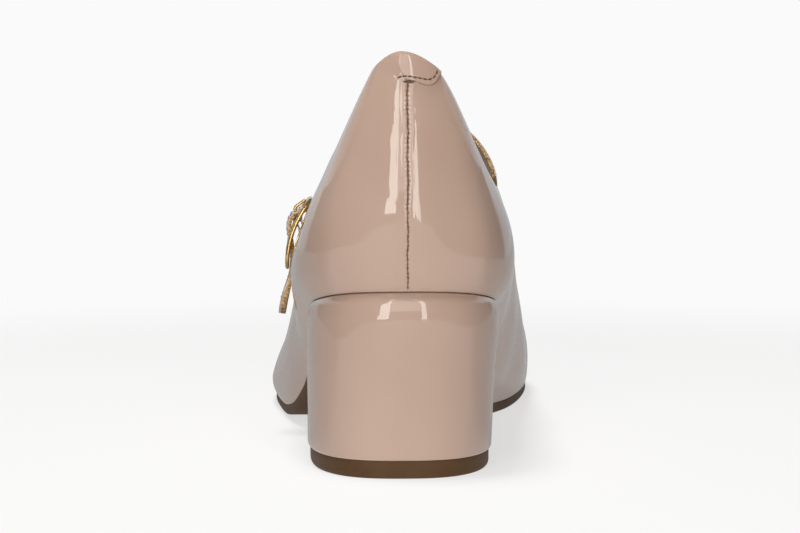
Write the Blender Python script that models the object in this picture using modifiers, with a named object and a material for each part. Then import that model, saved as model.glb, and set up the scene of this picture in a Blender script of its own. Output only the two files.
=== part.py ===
"""A left Mary Jane pump with a covered block heel, in pieces as a shoemaker assembles it.

Metres, +Z up. The toe points along -Y, the heel along +Y, the lateral side of this left shoe
is +X and the medial side -X. The origin is on the floor under the middle of the shoe.

Every outline is worked out in "last" coordinates, in millimetres: x across (lateral is
positive), s forward from the back of the heel, and z up from the floor.
"""

import math

import bmesh
import bpy
import numpy as np
from mathutils import Vector

MM = 0.001
GAP = 0.3  # clearance where two curved pieces meet
SEAM = 0.45  # the same along the curved joins of sole, insole and heel seat

# ---- driving dimensions, millimetres ------------------------------------------------------
LENGTH = 243.5
MIDDLE_X = -4.0  # the middle of the shoe's box, measured from the heel's centre line
WALL = 1.8  # upper leather, stiffener and lining together
SOLE_THICKNESS = 2.8
SOLE_BEVEL = 0.7
INSOLE_THICKNESS = 2.4
INSOLE_INSET = 2.6
INSOLE_BEVEL = 0.3

TOP_PIECE_THICKNESS = 5.0
TOP_PIECE_INSET = 0.75
TOP_PIECE_BEVEL = 0.5
HEEL_BREAST = 43.0  # front face of the heel block, from the back of the heel
HEEL_FOOT_HALF_WIDTH = 26.6
HEEL_FOOT_LEAN = 1.2  # the block's foot stands this far to the lateral side of its seat
HEEL_ROUNDNESS = 2.75  # exponent of the superellipse that is the foot's plan
HEEL_SWELL_FROM = 8.0  # half width past which the block has its full sideways swell

STRAP_WIDTH = 11.0
STRAP_THICKNESS = 1.4
STRAP_EDGE = 0.35  # chamfer of its long edges
STRAP_POINT = 0.72  # share of the width left at the clipped end
STRAP_SECTIONS = 84
TAIL_TWIST = math.radians(-2)  # how far the free end turns its face to the back
TAIL_THICKNESS = 2.2  # where the free end's two plies stand off each other
TAIL_HEIGHTS = (42.0, 52.0)  # both are full below the first and gone above the second
INSTEP_HEIGHTS = (74.0, 90.0)  # the instep's slope comes in from the first to the second
BUCKLE_HALF_LENGTH = 10.6  # along the strap, to the middle of the rim
BUCKLE_HALF_WIDTH = 8.2
BUCKLE_CORNER = 4.2
BUCKLE_BEND = 30.0  # radius that the frame is bowed to, round the side of the foot
BUCKLE_RIM = (2.2, 1.2)  # rim width and thickness
BUCKLE_PIN = 0.75  # radius of the centre bar
BUCKLE_PIN_AT = -3.6  # place of the bar along the strap, from the frame's middle
PRONG = 0.5  # radius of the prong
PRONG_HOLE = 1.05  # radius of the hole that it comes up through
PRONG_HOLE_AT = -5.35
PRONG_HOLE_SPAN = (-0.4, 4.0)  # off the frame's sheet, from under the strap to over it
TAB_WIDTH = 8.0
TAB_THICKNESS = 1.0
BACK_TAB_THICKNESS = 0.7

# ---- the shape of the last ----------------------------------------------------------------
# Height of the feather edge, where upper meets sole: heel seat, shank, tread and toe spring.
BOTTOM_LINE = (
    # station, height
    (0.0, 52.7),
    (20.0, 48.9),
    (43.0, 43.9),
    (60.0, 36.2),
    (80.0, 24.0),
    (98.0, 12.8),
    (114.0, 5.9),
    (130.0, 3.7),
    (144.0, SOLE_THICKNESS + SEAM),
    (188.0, SOLE_THICKNESS + SEAM),
    (215.0, 4.9),
    (LENGTH, 10.5),
)

# One row for each section of the upper, going round from the back of the heel by the lateral
# side to the toe and home by the medial side. Feather is the lower edge, belly the widest
# place, top the collar or throat. Rise is how far the wall climbs straight up from the
# belly, as a share of the height left. Reach and lift place the shoulder between the belly
# and the top, across and up.
UPPER_SECTIONS = (
    # feather x, s | belly x, s, z    | top x, s, z          | rise, reach, lift
    (0.0, 2.2, 0.0, 0.0, 72.0, 0.0, 6.6, 118.0, 0.42, 0.55, 0.78),  # back of the heel
    (16.0, 6.6, 19.0, 5.4, 67.0, 8.5, 9.2, 115.4, 0.29, 0.50, 0.76),
    (24.4, 20.0, 28.2, 20.5, 62.0, 11.9, 20.5, 106.0, 0.29, 0.56, 0.72),
    (27.0, 42.0, 31.8, 42.5, 56.0, 17.0, 42.0, 94.5, 0.27, 0.64, 0.56),
    (26.6, 66.0, 32.6, 66.0, 51.0, 22.3, 65.0, 82.0, 0.32, 0.52, 0.68),
    (28.2, 91.0, 31.3, 90.0, 41.0, 24.0, 89.0, 70.2, 0.42, 0.40, 0.76),  # under the buckle
    (33.6, 118.0, 34.2, 117.0, 18.0, 25.6, 110.0, 63.0, 0.20, 0.45, 0.76),
    (36.2, 141.0, 37.4, 141.0, 10.0, 23.4, 130.0, 56.0, 0.06, 0.44, 0.72),
    (37.9, 165.0, 39.2, 165.0, 8.0, 18.0, 147.0, 51.4, 0.06, 0.40, 0.62),
    (34.8, 193.0, 36.2, 194.0, 9.0, 10.4, 156.6, 48.6, 0.22, 0.36, 0.72),
    (23.4, 222.0, 25.0, 224.0, 12.0, 3.6, 160.6, 47.5, 0.34, 0.38, 0.70),
    (-9.0, 241.4, -9.0, LENGTH, 17.0, -4.0, 161.8, 47.2, 0.30, 0.40, 0.66),  # toe
    (-36.0, 226.0, -37.4, 228.0, 14.0, -11.6, 160.2, 47.9, 0.34, 0.38, 0.70),
    (-46.0, 200.0, -47.0, 200.0, 11.5, -18.0, 155.4, 49.4, 0.38, 0.34, 0.80),
    (-44.3, 172.0, -45.4, 172.0, 12.0, -24.6, 145.0, 52.6, 0.36, 0.34, 0.84),
    (-38.7, 147.0, -42.9, 147.0, 19.0, -29.2, 129.0, 58.6, 0.36, 0.36, 0.82),
    (-30.8, 123.0, -39.2, 122.0, 33.0, -30.2, 115.0, 66.4, 0.42, 0.40, 0.78),
    (-27.6, 103.0, -36.8, 102.0, 42.0, -31.0, 101.0, 74.8, 0.42, 0.42, 0.76),  # strap ear
    (-26.4, 84.0, -34.4, 84.0, 50.0, -28.2, 85.0, 77.0, 0.40, 0.40, 0.80),
    (-26.4, 64.0, -33.6, 64.0, 54.0, -23.6, 64.0, 84.8, 0.34, 0.42, 0.80),
    (-27.0, 42.0, -32.4, 42.5, 58.0, -17.9, 42.0, 95.0, 0.38, 0.49, 0.62),
    (-24.4, 20.0, -28.2, 20.5, 62.0, -12.4, 20.5, 106.0, 0.31, 0.60, 0.78),
    (-16.0, 6.6, -19.0, 5.4, 67.0, -8.8, 9.6, 113.5, 0.25, 0.46, 0.80),
)
EAR_SECTION = 17  # the row of the strap ear
BELLY_SHARE = 0.3  # share of a section's run that lies below the belly
UPPER_COLUMNS = 92
UPPER_ROWS = 16

# The covered block from seat to foot: how far each level is on the way down, how far its
# plan has turned from the seat's into the foot's, and how much it swells past both.
HEEL_LEVELS = (
    # way down, turned, swell
    (0.0, 0.0, -0.25),
    (0.05, 0.05, 0.35),
    (0.16, 0.2, 0.7),
    (0.5, 0.65, 0.4),
    (1.0, 1.0, 0.0),
)

# The strap's centre line over the instep. It starts on the ear of the medial topline, which
# comes before the first row, and past the last row it follows the buckle.
STRAP_ROUTE = (
    # x, s, z
    (-29.3, 103.0, 79.6),
    (-27.1, 104.4, 83.6),
    (-23.6, 106.6, 87.8),
    (-18.0, 108.6, 91.8),
    (-10.0, 110.0, 95.0),
    (-2.0, 110.0, 95.4),
    (6.0, 108.6, 92.6),
    (12.6, 105.8, 87.6),
    (18.2, 101.2, 81.0),
    (22.5, 96.0, 75.6),
)
INSTEP_SLOPE = math.radians(30)  # the strap's front edge lies this much lower than its back

BUCKLE_MIDDLE = (32.2, 91.0, 62.4)  # on the middle of the frame's bowed sheet
BUCKLE_LEAN = math.radians(19)  # the frame leans out at its foot with the quarter's side

# The strap through the buckle: under the rim, over the bar, under the rim, and hanging free.
# Along is measured down the strap from the frame's middle, out is off the frame's sheet.
STRAP_THROUGH_BUCKLE = (
    # along, out
    (-11.6, -1.6),
    (-9.6, -1.6),
    (-8.0, -0.9),
    (-6.4, 0.5),
    (-5.0, 1.5),
    (-3.6, 1.9),
    (-0.9, 1.5),
    (3.0, -0.3),
    (6.8, -1.4),
    (10.6, -1.6),
    (14.0, -0.9),
    (18.0, 1.2),
    (23.6, 5.2),
)
PRONG_ROUTE = (
    # along, out
    (-5.25, -0.1),
    (-5.35, 1.4),
    (-6.3, 2.15),
    (-7.7, 1.8),
    (-9.0, 1.35),
    (-9.8, 1.1),
)
TAB_ROUTE = (
    # along, out
    (-4.7, -1.25),
    (-3.6, -1.95),
    (-2.0, -2.5),
    (1.0, -2.8),
    (5.4, -2.75),
)

BACK_TAB_LATERAL = 0.02  # how far the tab runs round from the back seam, as shares of the
BACK_TAB_MEDIAL = 0.036  # upper's way round
BACK_TAB_DEPTH = 8.6  # how much deeper the tab is at the seam than at its ends
BACK_TAB_END = 1.2  # depth that is left at its ends
BACK_TAB_SQUARENESS = 4  # power of the curve of its lower edge

# ---- colours ------------------------------------------------------------------------------
COLOURS = {
    # name: (base colour, roughness, metallic)
    "patent_leather": ((0.52, 0.33, 0.27, 1.0), 0.12, 0.0),
    "strap_leather": ((0.50, 0.31, 0.25, 1.0), 0.18, 0.0),
    "insole_leather": ((0.58, 0.42, 0.32, 1.0), 0.6, 0.0),
    "brown_rubber": ((0.12, 0.065, 0.03, 1.0), 0.55, 0.0),
    "gold_metal": ((0.83, 0.62, 0.30, 1.0), 0.22, 1.0),
}


# ---- curves -------------------------------------------------------------------------------
def steady_curve(knots, values, at):
    """A cubic through the knots that never overshoots, and is flat between equal values."""
    knots, values = np.asarray(knots, float), np.asarray(values, float)
    step = np.diff(knots)
    slope = np.diff(values) / step
    bend = np.zeros(len(knots))
    bend[0], bend[-1] = slope[0], slope[-1]
    for i in range(1, len(knots) - 1):
        if slope[i - 1] * slope[i] > 0:
            near, far = 2 * step[i] + step[i - 1], step[i] + 2 * step[i - 1]
            bend[i] = (near + far) / (near / slope[i - 1] + far / slope[i])
    at = np.asarray(at, float)
    cell = np.clip(np.searchsorted(knots, at) - 1, 0, len(step) - 1)
    t = (at - knots[cell]) / step[cell]
    h = step[cell]
    return (
        values[cell] * (1 + 2 * t) * (1 - t) ** 2
        + values[cell + 1] * t * t * (3 - 2 * t)
        + bend[cell] * h * t * (1 - t) ** 2
        - bend[cell + 1] * h * t * t * (1 - t)
    )


def smooth_curve(points, count, closed=False):
    """Points along a twice-smooth cubic through rows of numbers, spaced by their distance."""
    points = np.asarray(points, float)
    rows = np.vstack([points, points[:1]]) if closed else points
    knots = np.concatenate([[0], np.cumsum(np.linalg.norm(np.diff(rows, axis=0), axis=1))])
    knots /= knots[-1]
    return curve_at(knots, rows, np.linspace(0, 1, count, endpoint=not closed), closed)


def curve_at(knots, rows, at, closed):
    """The cubic spline with these knots, at these places between 0 and 1."""
    step = np.diff(knots)[:, None]
    slope = np.diff(rows, axis=0) / step
    n = len(rows)
    system, target = np.eye(n), np.zeros_like(rows)
    for i in range(1, n - 1):
        system[i, i - 1 : i + 2] = step[i - 1, 0], 2 * (step[i - 1, 0] + step[i, 0]), step[i, 0]
        target[i] = 6 * (slope[i] - slope[i - 1])
    if closed:
        system[0, :2] = 2 * (step[-1, 0] + step[0, 0]), step[0, 0]
        system[0, n - 2] = step[-1, 0]
        target[0] = 6 * (slope[0] - slope[-1])
        system[-1, 0] = -1.0
    curl = np.linalg.solve(system, target)
    at = np.asarray(at, float)
    cell = np.clip(np.searchsorted(knots, at, side="right") - 1, 0, len(step) - 1)
    h = step[cell]
    t = ((at - knots[cell]) / h[:, 0])[:, None]
    return (
        (1 - t) * rows[cell]
        + t * rows[cell + 1]
        + h * h / 6 * (((1 - t) ** 3 - (1 - t)) * curl[cell] + (t**3 - t) * curl[cell + 1])
    )


def bezier(a, b, c, d, t):
    return (1 - t) ** 3 * a + 3 * t * (1 - t) ** 2 * b + 3 * t * t * (1 - t) * c + t**3 * d


# ---- the upper's own function -------------------------------------------------------------
def bottom_height(s):
    stations, heights = zip(*BOTTOM_LINE)
    return steady_curve(stations, heights, s)


def section_knots():
    """How far round the shoe each section lies, as a share of the way along the feather."""
    feather = np.array([row[:2] for row in UPPER_SECTIONS])
    loop = np.vstack([feather, feather[:1]])
    way = np.concatenate([[0], np.cumsum(np.linalg.norm(np.diff(loop, axis=0), axis=1))])
    return way / way[-1]


def sections_at(around):
    rows = np.array(UPPER_SECTIONS + UPPER_SECTIONS[:1], float)
    return curve_at(section_knots(), rows, np.mod(around, 1.0), closed=True)


def upper_point(around, up):
    """Points of the upper's outer face in last coordinates: round the shoe, and from feather
    (0) to topline (1)."""
    around, up = np.atleast_1d(around).astype(float), np.atleast_1d(up).astype(float)
    row = sections_at(around)
    feather = np.column_stack([row[:, 0], row[:, 1], bottom_height(row[:, 1])])
    belly, top = row[:, 2:5], row[:, 5:8]
    rise, reach, lift = row[:, 8:9], row[:, 9:10], row[:, 10:11]
    z = np.array([0.0, 0.0, 1.0])
    left = top - belly
    height = left[:, 2:3]
    shoulder = belly + reach * left * (1 - z) + lift * height * z
    low = np.clip(up / BELLY_SHARE, 0, 1)[:, None]
    high = np.clip((up - BELLY_SHARE) / (1 - BELLY_SHARE), 0, 1)[:, None]
    drop = (belly - feather) * z
    below = bezier(feather, feather + (belly - feather) * (0.5, 0.5, 0.22), belly - 0.5 * drop,
                   belly, low)
    above = bezier(belly, belly + rise * height * z, shoulder, top, high)
    return np.where(up[:, None] < BELLY_SHARE, below, above)


def upper_normal(around, up):
    """Outward normals of the upper's face in last coordinates."""
    small = 1e-4
    up = np.clip(up, small, 1 - small)
    along = upper_point(around + small, up) - upper_point(around - small, up)
    rise = upper_point(around, up + small) - upper_point(around, up - small)
    normal = np.cross(along, rise)
    return normal / np.linalg.norm(normal, axis=1, keepdims=True)


def feather_edge(inset=0.0, count=1441):
    """The lower edge in plan, as (x, s) rows going round, drawn in by an inset."""
    around = np.linspace(0, 1, count)
    line = sections_at(around)[:, :2]
    run = sections_at(around + 1e-4)[:, :2] - sections_at(around - 1e-4)[:, :2]
    inward = np.column_stack([-run[:, 1], run[:, 0]])
    return line + inset * inward / np.linalg.norm(inward, axis=1, keepdims=True)


def edge_pairs(start, end, count, inset=0.0):
    """Lateral and medial points of the edge at matching stations, close together at a round
    end. A start or end of None is the tip of the heel or of the toe."""
    line = feather_edge(inset)
    toe = int(np.argmax(line[:, 1]))
    sides = line[: toe + 1], line[toe:][::-1]
    low = min(line[:, 1]) if start is None else start
    high = max(line[:, 1]) if end is None else end
    way = np.linspace(0, 1, count)
    if start is None and end is None:
        way = (1 - np.cos(np.pi * way)) / 2
    elif end is None:
        way = np.sin(np.pi * way / 2)
    elif start is None:
        way = 1 - np.cos(np.pi * way / 2)
    stations = low + (high - low) * way
    lateral, medial = (np.interp(stations, side[:, 1], side[:, 0]) for side in sides)
    return stations, lateral, medial


# ---- meshes -------------------------------------------------------------------------------
def to_world(points):
    """Last coordinates in millimetres to the model's frame in metres."""
    x, s, z = np.asarray(points, float).T
    return np.column_stack([x - MIDDLE_X, LENGTH / 2 - s, z]) * MM


def new_object(name, mesh, colour):
    obj = bpy.data.objects.new(name, mesh)
    shoe.objects.link(obj)
    mesh.materials.append(material(colour))
    return obj


def material(name):
    if name in bpy.data.materials:
        return bpy.data.materials[name]
    made = bpy.data.materials.new(name)
    made.use_nodes = True
    shader = made.node_tree.nodes["Principled BSDF"]
    base, roughness, metallic = COLOURS[name]
    shader.inputs["Base Color"].default_value = base
    shader.inputs["Roughness"].default_value = roughness
    shader.inputs["Metallic"].default_value = metallic
    made.diffuse_color = base
    return made


def loft(name, rings, colour, caps=True, closed=False):
    """A skin over rings of points in last coordinates. A ring may shrink to a line at a
    round end, where its doubled points are merged."""
    mesh = bmesh.new()
    made = [[mesh.verts.new(Vector(p)) for p in to_world(ring)] for ring in rings]
    around = len(rings[0])
    spans = len(rings) if closed else len(rings) - 1
    for i in range(spans):
        here, there = made[i], made[(i + 1) % len(rings)]
        for j in range(around):
            k = (j + 1) % around
            mesh.faces.new((here[j], here[k], there[k], there[j]))
    if caps and not closed:
        mesh.faces.new(made[0][::-1])
        mesh.faces.new(made[-1])
    bmesh.ops.remove_doubles(mesh, verts=mesh.verts, dist=1e-6)
    return finish_mesh(name, mesh, colour)


def finish_mesh(name, mesh, colour):
    bmesh.ops.recalc_face_normals(mesh, faces=mesh.faces)
    if mesh.calc_volume(signed=True) < 0:
        bmesh.ops.reverse_faces(mesh, faces=mesh.faces)
    data = bpy.data.meshes.new(name)
    mesh.to_mesh(data)
    mesh.free()
    data.shade_smooth()
    data.set_sharp_from_angle(angle=math.radians(35))
    return new_object(name, data, colour)


def thicken(obj, thickness):
    """Solidify inward from the modelled outer face."""
    shell = obj.modifiers.new("Wall", "SOLIDIFY")
    shell.thickness = thickness * MM
    shell.offset = -1
    shell.use_even_offset = True
    return obj


def plate_ring(lateral, medial, s, tops, bottoms, bevel):
    """One section of a plate between two edges: over the top, round the lateral edge, back
    under, and round the medial edge. Tops and bottoms are functions of the station."""
    share = np.linspace(0, 1, 5)
    draw = min(bevel, (lateral - medial) / 2)
    top, bottom = tops(s), bottoms(s)
    upper_row = [(medial + (lateral - medial) * t, s, top) for t in share]
    low_l, low_m = lateral - draw, medial + draw
    shoulder = bottom + bevel
    lower_row = [(low_l + (low_m - low_l) * t, s, bottom) for t in share]
    return upper_row + [(lateral, s, shoulder)] + lower_row + [(medial, s, shoulder)]


def plate(name, edges, tops, bottoms, bevel, colour):
    return loft(name, [plate_ring(lat, med, s, tops, bottoms, bevel)
                       for s, lat, med in zip(*edges)], colour)


# ---- the pieces ---------------------------------------------------------------------------
def make_upper():
    """One hollow shell, open at the collar and underneath."""
    around = np.arange(UPPER_COLUMNS) / UPPER_COLUMNS
    low = np.linspace(0, BELLY_SHARE, 5)
    high = np.linspace(BELLY_SHARE, 1, UPPER_ROWS - 4)[1:]
    mesh = bmesh.new()
    rows = []
    for up in np.concatenate([low, high]):
        line = to_world(upper_point(around, np.full(UPPER_COLUMNS, up)))
        rows.append([mesh.verts.new(Vector(p)) for p in line])
    for here, there in zip(rows, rows[1:]):
        for j in range(UPPER_COLUMNS):
            k = (j + 1) % UPPER_COLUMNS
            mesh.faces.new((here[j], there[j], there[k], here[k]))
    data = bpy.data.meshes.new("upper")
    bmesh.ops.recalc_face_normals(mesh, faces=mesh.faces)
    mesh.to_mesh(data)
    mesh.free()
    data.shade_smooth()
    return thicken(new_object("upper", data, "patent_leather"), WALL)


def make_outsole():
    return plate("outsole", edge_pairs(HEEL_BREAST + SEAM, None, 44),
                 lambda s: float(bottom_height(s)) - SEAM,
                 lambda s: float(bottom_height(s)) - SEAM - SOLE_THICKNESS,
                 SOLE_BEVEL, "brown_rubber")


def make_insole():
    return plate("insole", edge_pairs(None, None, 40, INSOLE_INSET),
                 lambda s: float(bottom_height(s)) + INSOLE_THICKNESS,
                 lambda s: float(bottom_height(s)),
                 INSOLE_BEVEL, "insole_leather")


def heel_foot(share, inset=0.0):
    """Half width and station of the heel's foot in plan, from its back (0) to its breast."""
    half = (1 - (1 - share) ** HEEL_ROUNDNESS) ** (1 / HEEL_ROUNDNESS)
    station = inset + share * (HEEL_BREAST - inset)
    return half * (HEEL_FOOT_HALF_WIDTH - inset), station


def make_heel_block():
    count = 18
    foot_top = TOP_PIECE_THICKNESS + GAP
    seat_s, seat_lateral, seat_medial = edge_pairs(None, HEEL_BREAST, count)
    seat_way = (seat_s - seat_s[0]) / (seat_s[-1] - seat_s[0])
    rings = []
    for i in range(count):
        half, foot_s = heel_foot(seat_way[i])
        sides = []
        for x_seat, x_foot in ((seat_lateral[i], half + HEEL_FOOT_LEAN),
                               (seat_medial[i], -half + HEEL_FOOT_LEAN)):
            side = []
            for down, turned, swell in HEEL_LEVELS:
                s = seat_s[i] + turned * (foot_s - seat_s[i])
                x = x_seat + turned * (x_foot - x_seat)
                out = swell * min(1.0, half / HEEL_SWELL_FROM) * np.sign(x_foot - HEEL_FOOT_LEAN)
                back = swell * (1 - half / HEEL_FOOT_HALF_WIDTH)
                seat = float(bottom_height(seat_s[i])) - SEAM
                side.append((x + out, s - back, seat + down * (foot_top - seat)))
            sides.append(side)
        lateral, medial = sides
        across = np.linspace(0, 1, 5)[1:-1]
        head = [tuple(np.add(medial[0], t * np.subtract(lateral[0], medial[0]))) for t in across]
        foot = [tuple(np.add(lateral[-1], t * np.subtract(medial[-1], lateral[-1])))
                for t in across]
        rings.append([medial[0]] + head + lateral + foot + medial[:0:-1])
    return loft("heel_block", rings, "patent_leather")


def make_top_piece():
    count = 16
    rings = []
    for share in 1 - np.cos(np.pi / 2 * np.linspace(0, 1, count)):
        half, s = heel_foot(share, TOP_PIECE_INSET)
        rings.append(plate_ring(HEEL_FOOT_LEAN + half, HEEL_FOOT_LEAN - half, s,
                                lambda _: TOP_PIECE_THICKNESS, lambda _: 0.0,
                                TOP_PIECE_BEVEL))
    return loft("heel_top_piece", rings, "brown_rubber")


def ribbon_rings(route, across, width, thickness, ends=(1.0, 1.0)):
    """Sections of a flat strap along a route. Across gives the way its width runs at each
    point, thickness is one or one for each point, and ends is the share of the width left at
    its two clipped ends."""
    route, across = np.asarray(route, float), np.asarray(across, float)
    run = np.gradient(route, axis=0)
    run /= np.linalg.norm(run, axis=1, keepdims=True)
    wide = across - (across * run).sum(axis=1, keepdims=True) * run
    wide /= np.linalg.norm(wide, axis=1, keepdims=True)
    out = np.cross(run, wide)
    half, edge = width / 2, STRAP_EDGE
    rings = []
    for i, point in enumerate(route):
        deep = np.broadcast_to(thickness, len(route))[i] / 2
        outline = ((-half, -deep + edge), (-half, deep - edge), (-half + edge, deep),
                   (half - edge, deep), (half, deep - edge), (half, -deep + edge),
                   (half - edge, -deep), (-half + edge, -deep))
        share = ends[0] if i == 0 else ends[1] if i == len(route) - 1 else 1.0
        rings.append([point + a * share * wide[i] + b * out[i] for a, b in outline])
    return rings


def buckle_point(along, across, out):
    """A place on the bowed sheet that the buckle frame lies in, in last coordinates. The
    sheet bends round the side of the foot and leans with it."""
    turn = along / BUCKLE_BEND
    radius = BUCKLE_BEND + out
    drop = radius * math.sin(turn)
    proud = radius * math.cos(turn) - BUCKLE_BEND
    x, s, z = BUCKLE_MIDDLE
    return (x + proud * math.cos(BUCKLE_LEAN) + drop * math.sin(BUCKLE_LEAN),
            s + across,
            z + proud * math.sin(BUCKLE_LEAN) - drop * math.cos(BUCKLE_LEAN))


def make_strap():
    """One flat strap: butted on the ear, over the instep, through the buckle, end hanging."""
    ear = section_knots()[EAR_SECTION] + np.array((0.01, 0.0, -0.01))
    behind, rim, ahead = upper_point(ear, np.ones(3))
    outward = upper_normal(ear, np.ones(3))[1]
    start = rim - STRAP_THICKNESS / 2 * outward + (0.0, 0.0, 4 * GAP)
    through = [buckle_point(along, 0.0, out)
               for along, out in smooth_curve(STRAP_THROUGH_BUCKLE, 14)]
    route = smooth_curve([start] + list(STRAP_ROUTE) + through, STRAP_SECTIONS)
    level = route[:, 2:3]
    height = np.clip((level - INSTEP_HEIGHTS[0]) / np.ptp(INSTEP_HEIGHTS), 0, 1)
    slope = np.array((0.0, math.cos(INSTEP_SLOPE), -math.sin(INSTEP_SLOPE)))
    twist = TAIL_TWIST * np.clip((TAIL_HEIGHTS[1] - level) / np.ptp(TAIL_HEIGHTS), 0, 1)
    hanging = np.hstack([np.sin(twist), np.cos(twist), 0 * twist])
    lateral = (1 - height) * hanging + height * slope
    medial = (1 - height) * (ahead - behind) / np.linalg.norm(ahead - behind) + height * slope
    across = np.where(route[:, :1] > 0, lateral, medial)
    thickness = np.interp(route[:, 2], TAIL_HEIGHTS, (TAIL_THICKNESS, STRAP_THICKNESS))
    rings = ribbon_rings(route, across, STRAP_WIDTH, thickness, (1.0, STRAP_POINT))
    strap = loft("strap", rings, "strap_leather")
    angles = np.linspace(0, 2 * math.pi, 12, endpoint=False)
    tube = [[buckle_point(PRONG_HOLE_AT + PRONG_HOLE * math.cos(a), PRONG_HOLE * math.sin(a), out)
             for a in angles] for out in PRONG_HOLE_SPAN]
    hole = strap.modifiers.new("Prong hole", "BOOLEAN")
    hole.solver = "EXACT"
    hole.object = loft("prong_hole", tube, "strap_leather")
    hole.object.hide_render = True


def make_buckle_frame():
    """The bowed frame: a rounded oblong rim."""
    corner = BUCKLE_CORNER
    straight = BUCKLE_HALF_LENGTH - corner, BUCKLE_HALF_WIDTH - corner
    rim = []
    for quarter, (a, b) in enumerate(((1, 1), (-1, 1), (-1, -1), (1, -1))):
        for step in range(6):
            angle = math.pi / 2 * (quarter + step / 5)
            rim.append((a * straight[0] + corner * math.cos(angle),
                        b * straight[1] + corner * math.sin(angle), angle))
    wide, deep = BUCKLE_RIM[0] / 2, BUCKLE_RIM[1] / 2
    profile = [(wide * math.cos(a), deep * math.sin(a)) for a in np.arange(8) * math.pi / 4]
    rings = [[buckle_point(along + w * math.cos(angle), across + w * math.sin(angle), d)
              for w, d in profile] for along, across, angle in rim]
    return loft("buckle_frame", rings, "gold_metal", closed=True)


def rod(name, points, radius, colour):
    """A round wire through points in last coordinates."""
    data = bpy.data.curves.new(name, "CURVE")
    data.dimensions = "3D"
    line = data.splines.new("POLY")
    line.points.add(len(points) - 1)
    for knot, place in zip(line.points, to_world(points)):
        knot.co = (*place, 1.0)
    data.bevel_depth = radius * MM
    data.bevel_resolution = 2
    data.use_fill_caps = True
    return new_object(name, data, colour)


def make_buckle_bar():
    reach = BUCKLE_HALF_WIDTH - BUCKLE_RIM[0] / 2 - GAP
    ends = [buckle_point(BUCKLE_PIN_AT, side * reach, 0.0) for side in (-1, 1)]
    return rod("buckle_bar", ends, BUCKLE_PIN, "gold_metal")


def make_buckle_prong():
    route = [buckle_point(along, 0.0, out) for along, out in smooth_curve(PRONG_ROUTE, 12)]
    return rod("buckle_prong", route, PRONG, "gold_metal")


def make_buckle_tab():
    route = [buckle_point(along, 0.0, out) for along, out in smooth_curve(TAB_ROUTE, 14)]
    rings = ribbon_rings(route, np.tile((0.0, 1.0, 0.0), (len(route), 1)), TAB_WIDTH,
                         TAB_THICKNESS)
    return loft("buckle_tab", rings, "strap_leather")


def make_back_tab():
    """The overlay across the top of the back seam, laid on the upper's own face."""
    columns, rows = 15, 5
    around = np.linspace(-BACK_TAB_MEDIAL, BACK_TAB_LATERAL, columns)
    mesh = bmesh.new()
    grid = []
    for a in around:
        side = BACK_TAB_LATERAL if a > 0 else BACK_TAB_MEDIAL
        depth = BACK_TAB_DEPTH * (1 - abs(a / side) ** BACK_TAB_SQUARENESS) + BACK_TAB_END
        heights = np.linspace(0.6, 1.0, 201)
        line = upper_point(np.full(heights.shape, a), heights)
        low = np.interp(line[-1, 2] - depth, line[:, 2], heights)
        up = np.linspace(low, 1.0, rows)
        place = np.full(rows, a)
        skin = upper_point(place, up) + (GAP + BACK_TAB_THICKNESS) * upper_normal(place, up)
        grid.append([mesh.verts.new(Vector(p)) for p in to_world(skin)])
    for here, there in zip(grid, grid[1:]):
        for j in range(rows - 1):
            mesh.faces.new((here[j], here[j + 1], there[j + 1], there[j]))
    for face in mesh.faces:
        face.normal_update()
    if sum(face.normal.y for face in mesh.faces) < 0:
        bmesh.ops.reverse_faces(mesh, faces=mesh.faces)
    data = bpy.data.meshes.new("back_tab")
    mesh.to_mesh(data)
    mesh.free()
    data.shade_smooth()
    return thicken(new_object("back_tab", data, "patent_leather"), BACK_TAB_THICKNESS)


# ---- the shoe -----------------------------------------------------------------------------
for old in list(bpy.data.objects):
    bpy.data.objects.remove(old)
shoe = bpy.data.collections.new("mary_jane_pump")
bpy.context.scene.collection.children.link(shoe)

make_upper()
make_outsole()
make_insole()
make_heel_block()
make_top_piece()
make_strap()
make_buckle_frame()
make_buckle_bar()
make_buckle_prong()
make_buckle_tab()
make_back_tab()
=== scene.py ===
"""The looks of a left Mary Jane pump: patent leather, strap, buckle, sole and covered heel.

The skins are worked out in the same "last" coordinates as the solids, in millimetres: x across
(lateral is positive), s forward from the back of the heel, z up from the floor.
"""

import math
from contextlib import contextmanager

import bmesh
import bpy
import numpy as np
from mathutils import Matrix, Vector


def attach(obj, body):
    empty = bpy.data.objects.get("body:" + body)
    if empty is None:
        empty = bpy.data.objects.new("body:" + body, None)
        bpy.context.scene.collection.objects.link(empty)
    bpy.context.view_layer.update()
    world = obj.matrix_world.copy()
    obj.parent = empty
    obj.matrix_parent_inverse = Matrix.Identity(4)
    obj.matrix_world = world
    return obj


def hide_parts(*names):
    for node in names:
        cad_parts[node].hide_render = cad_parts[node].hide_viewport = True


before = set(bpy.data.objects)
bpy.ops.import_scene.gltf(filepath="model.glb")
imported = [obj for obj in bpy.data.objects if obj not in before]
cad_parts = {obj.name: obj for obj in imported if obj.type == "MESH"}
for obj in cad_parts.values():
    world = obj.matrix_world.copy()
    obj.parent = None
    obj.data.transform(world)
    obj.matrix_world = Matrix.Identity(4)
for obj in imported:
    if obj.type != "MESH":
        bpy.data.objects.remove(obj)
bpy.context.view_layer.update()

MM = 0.001

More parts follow.
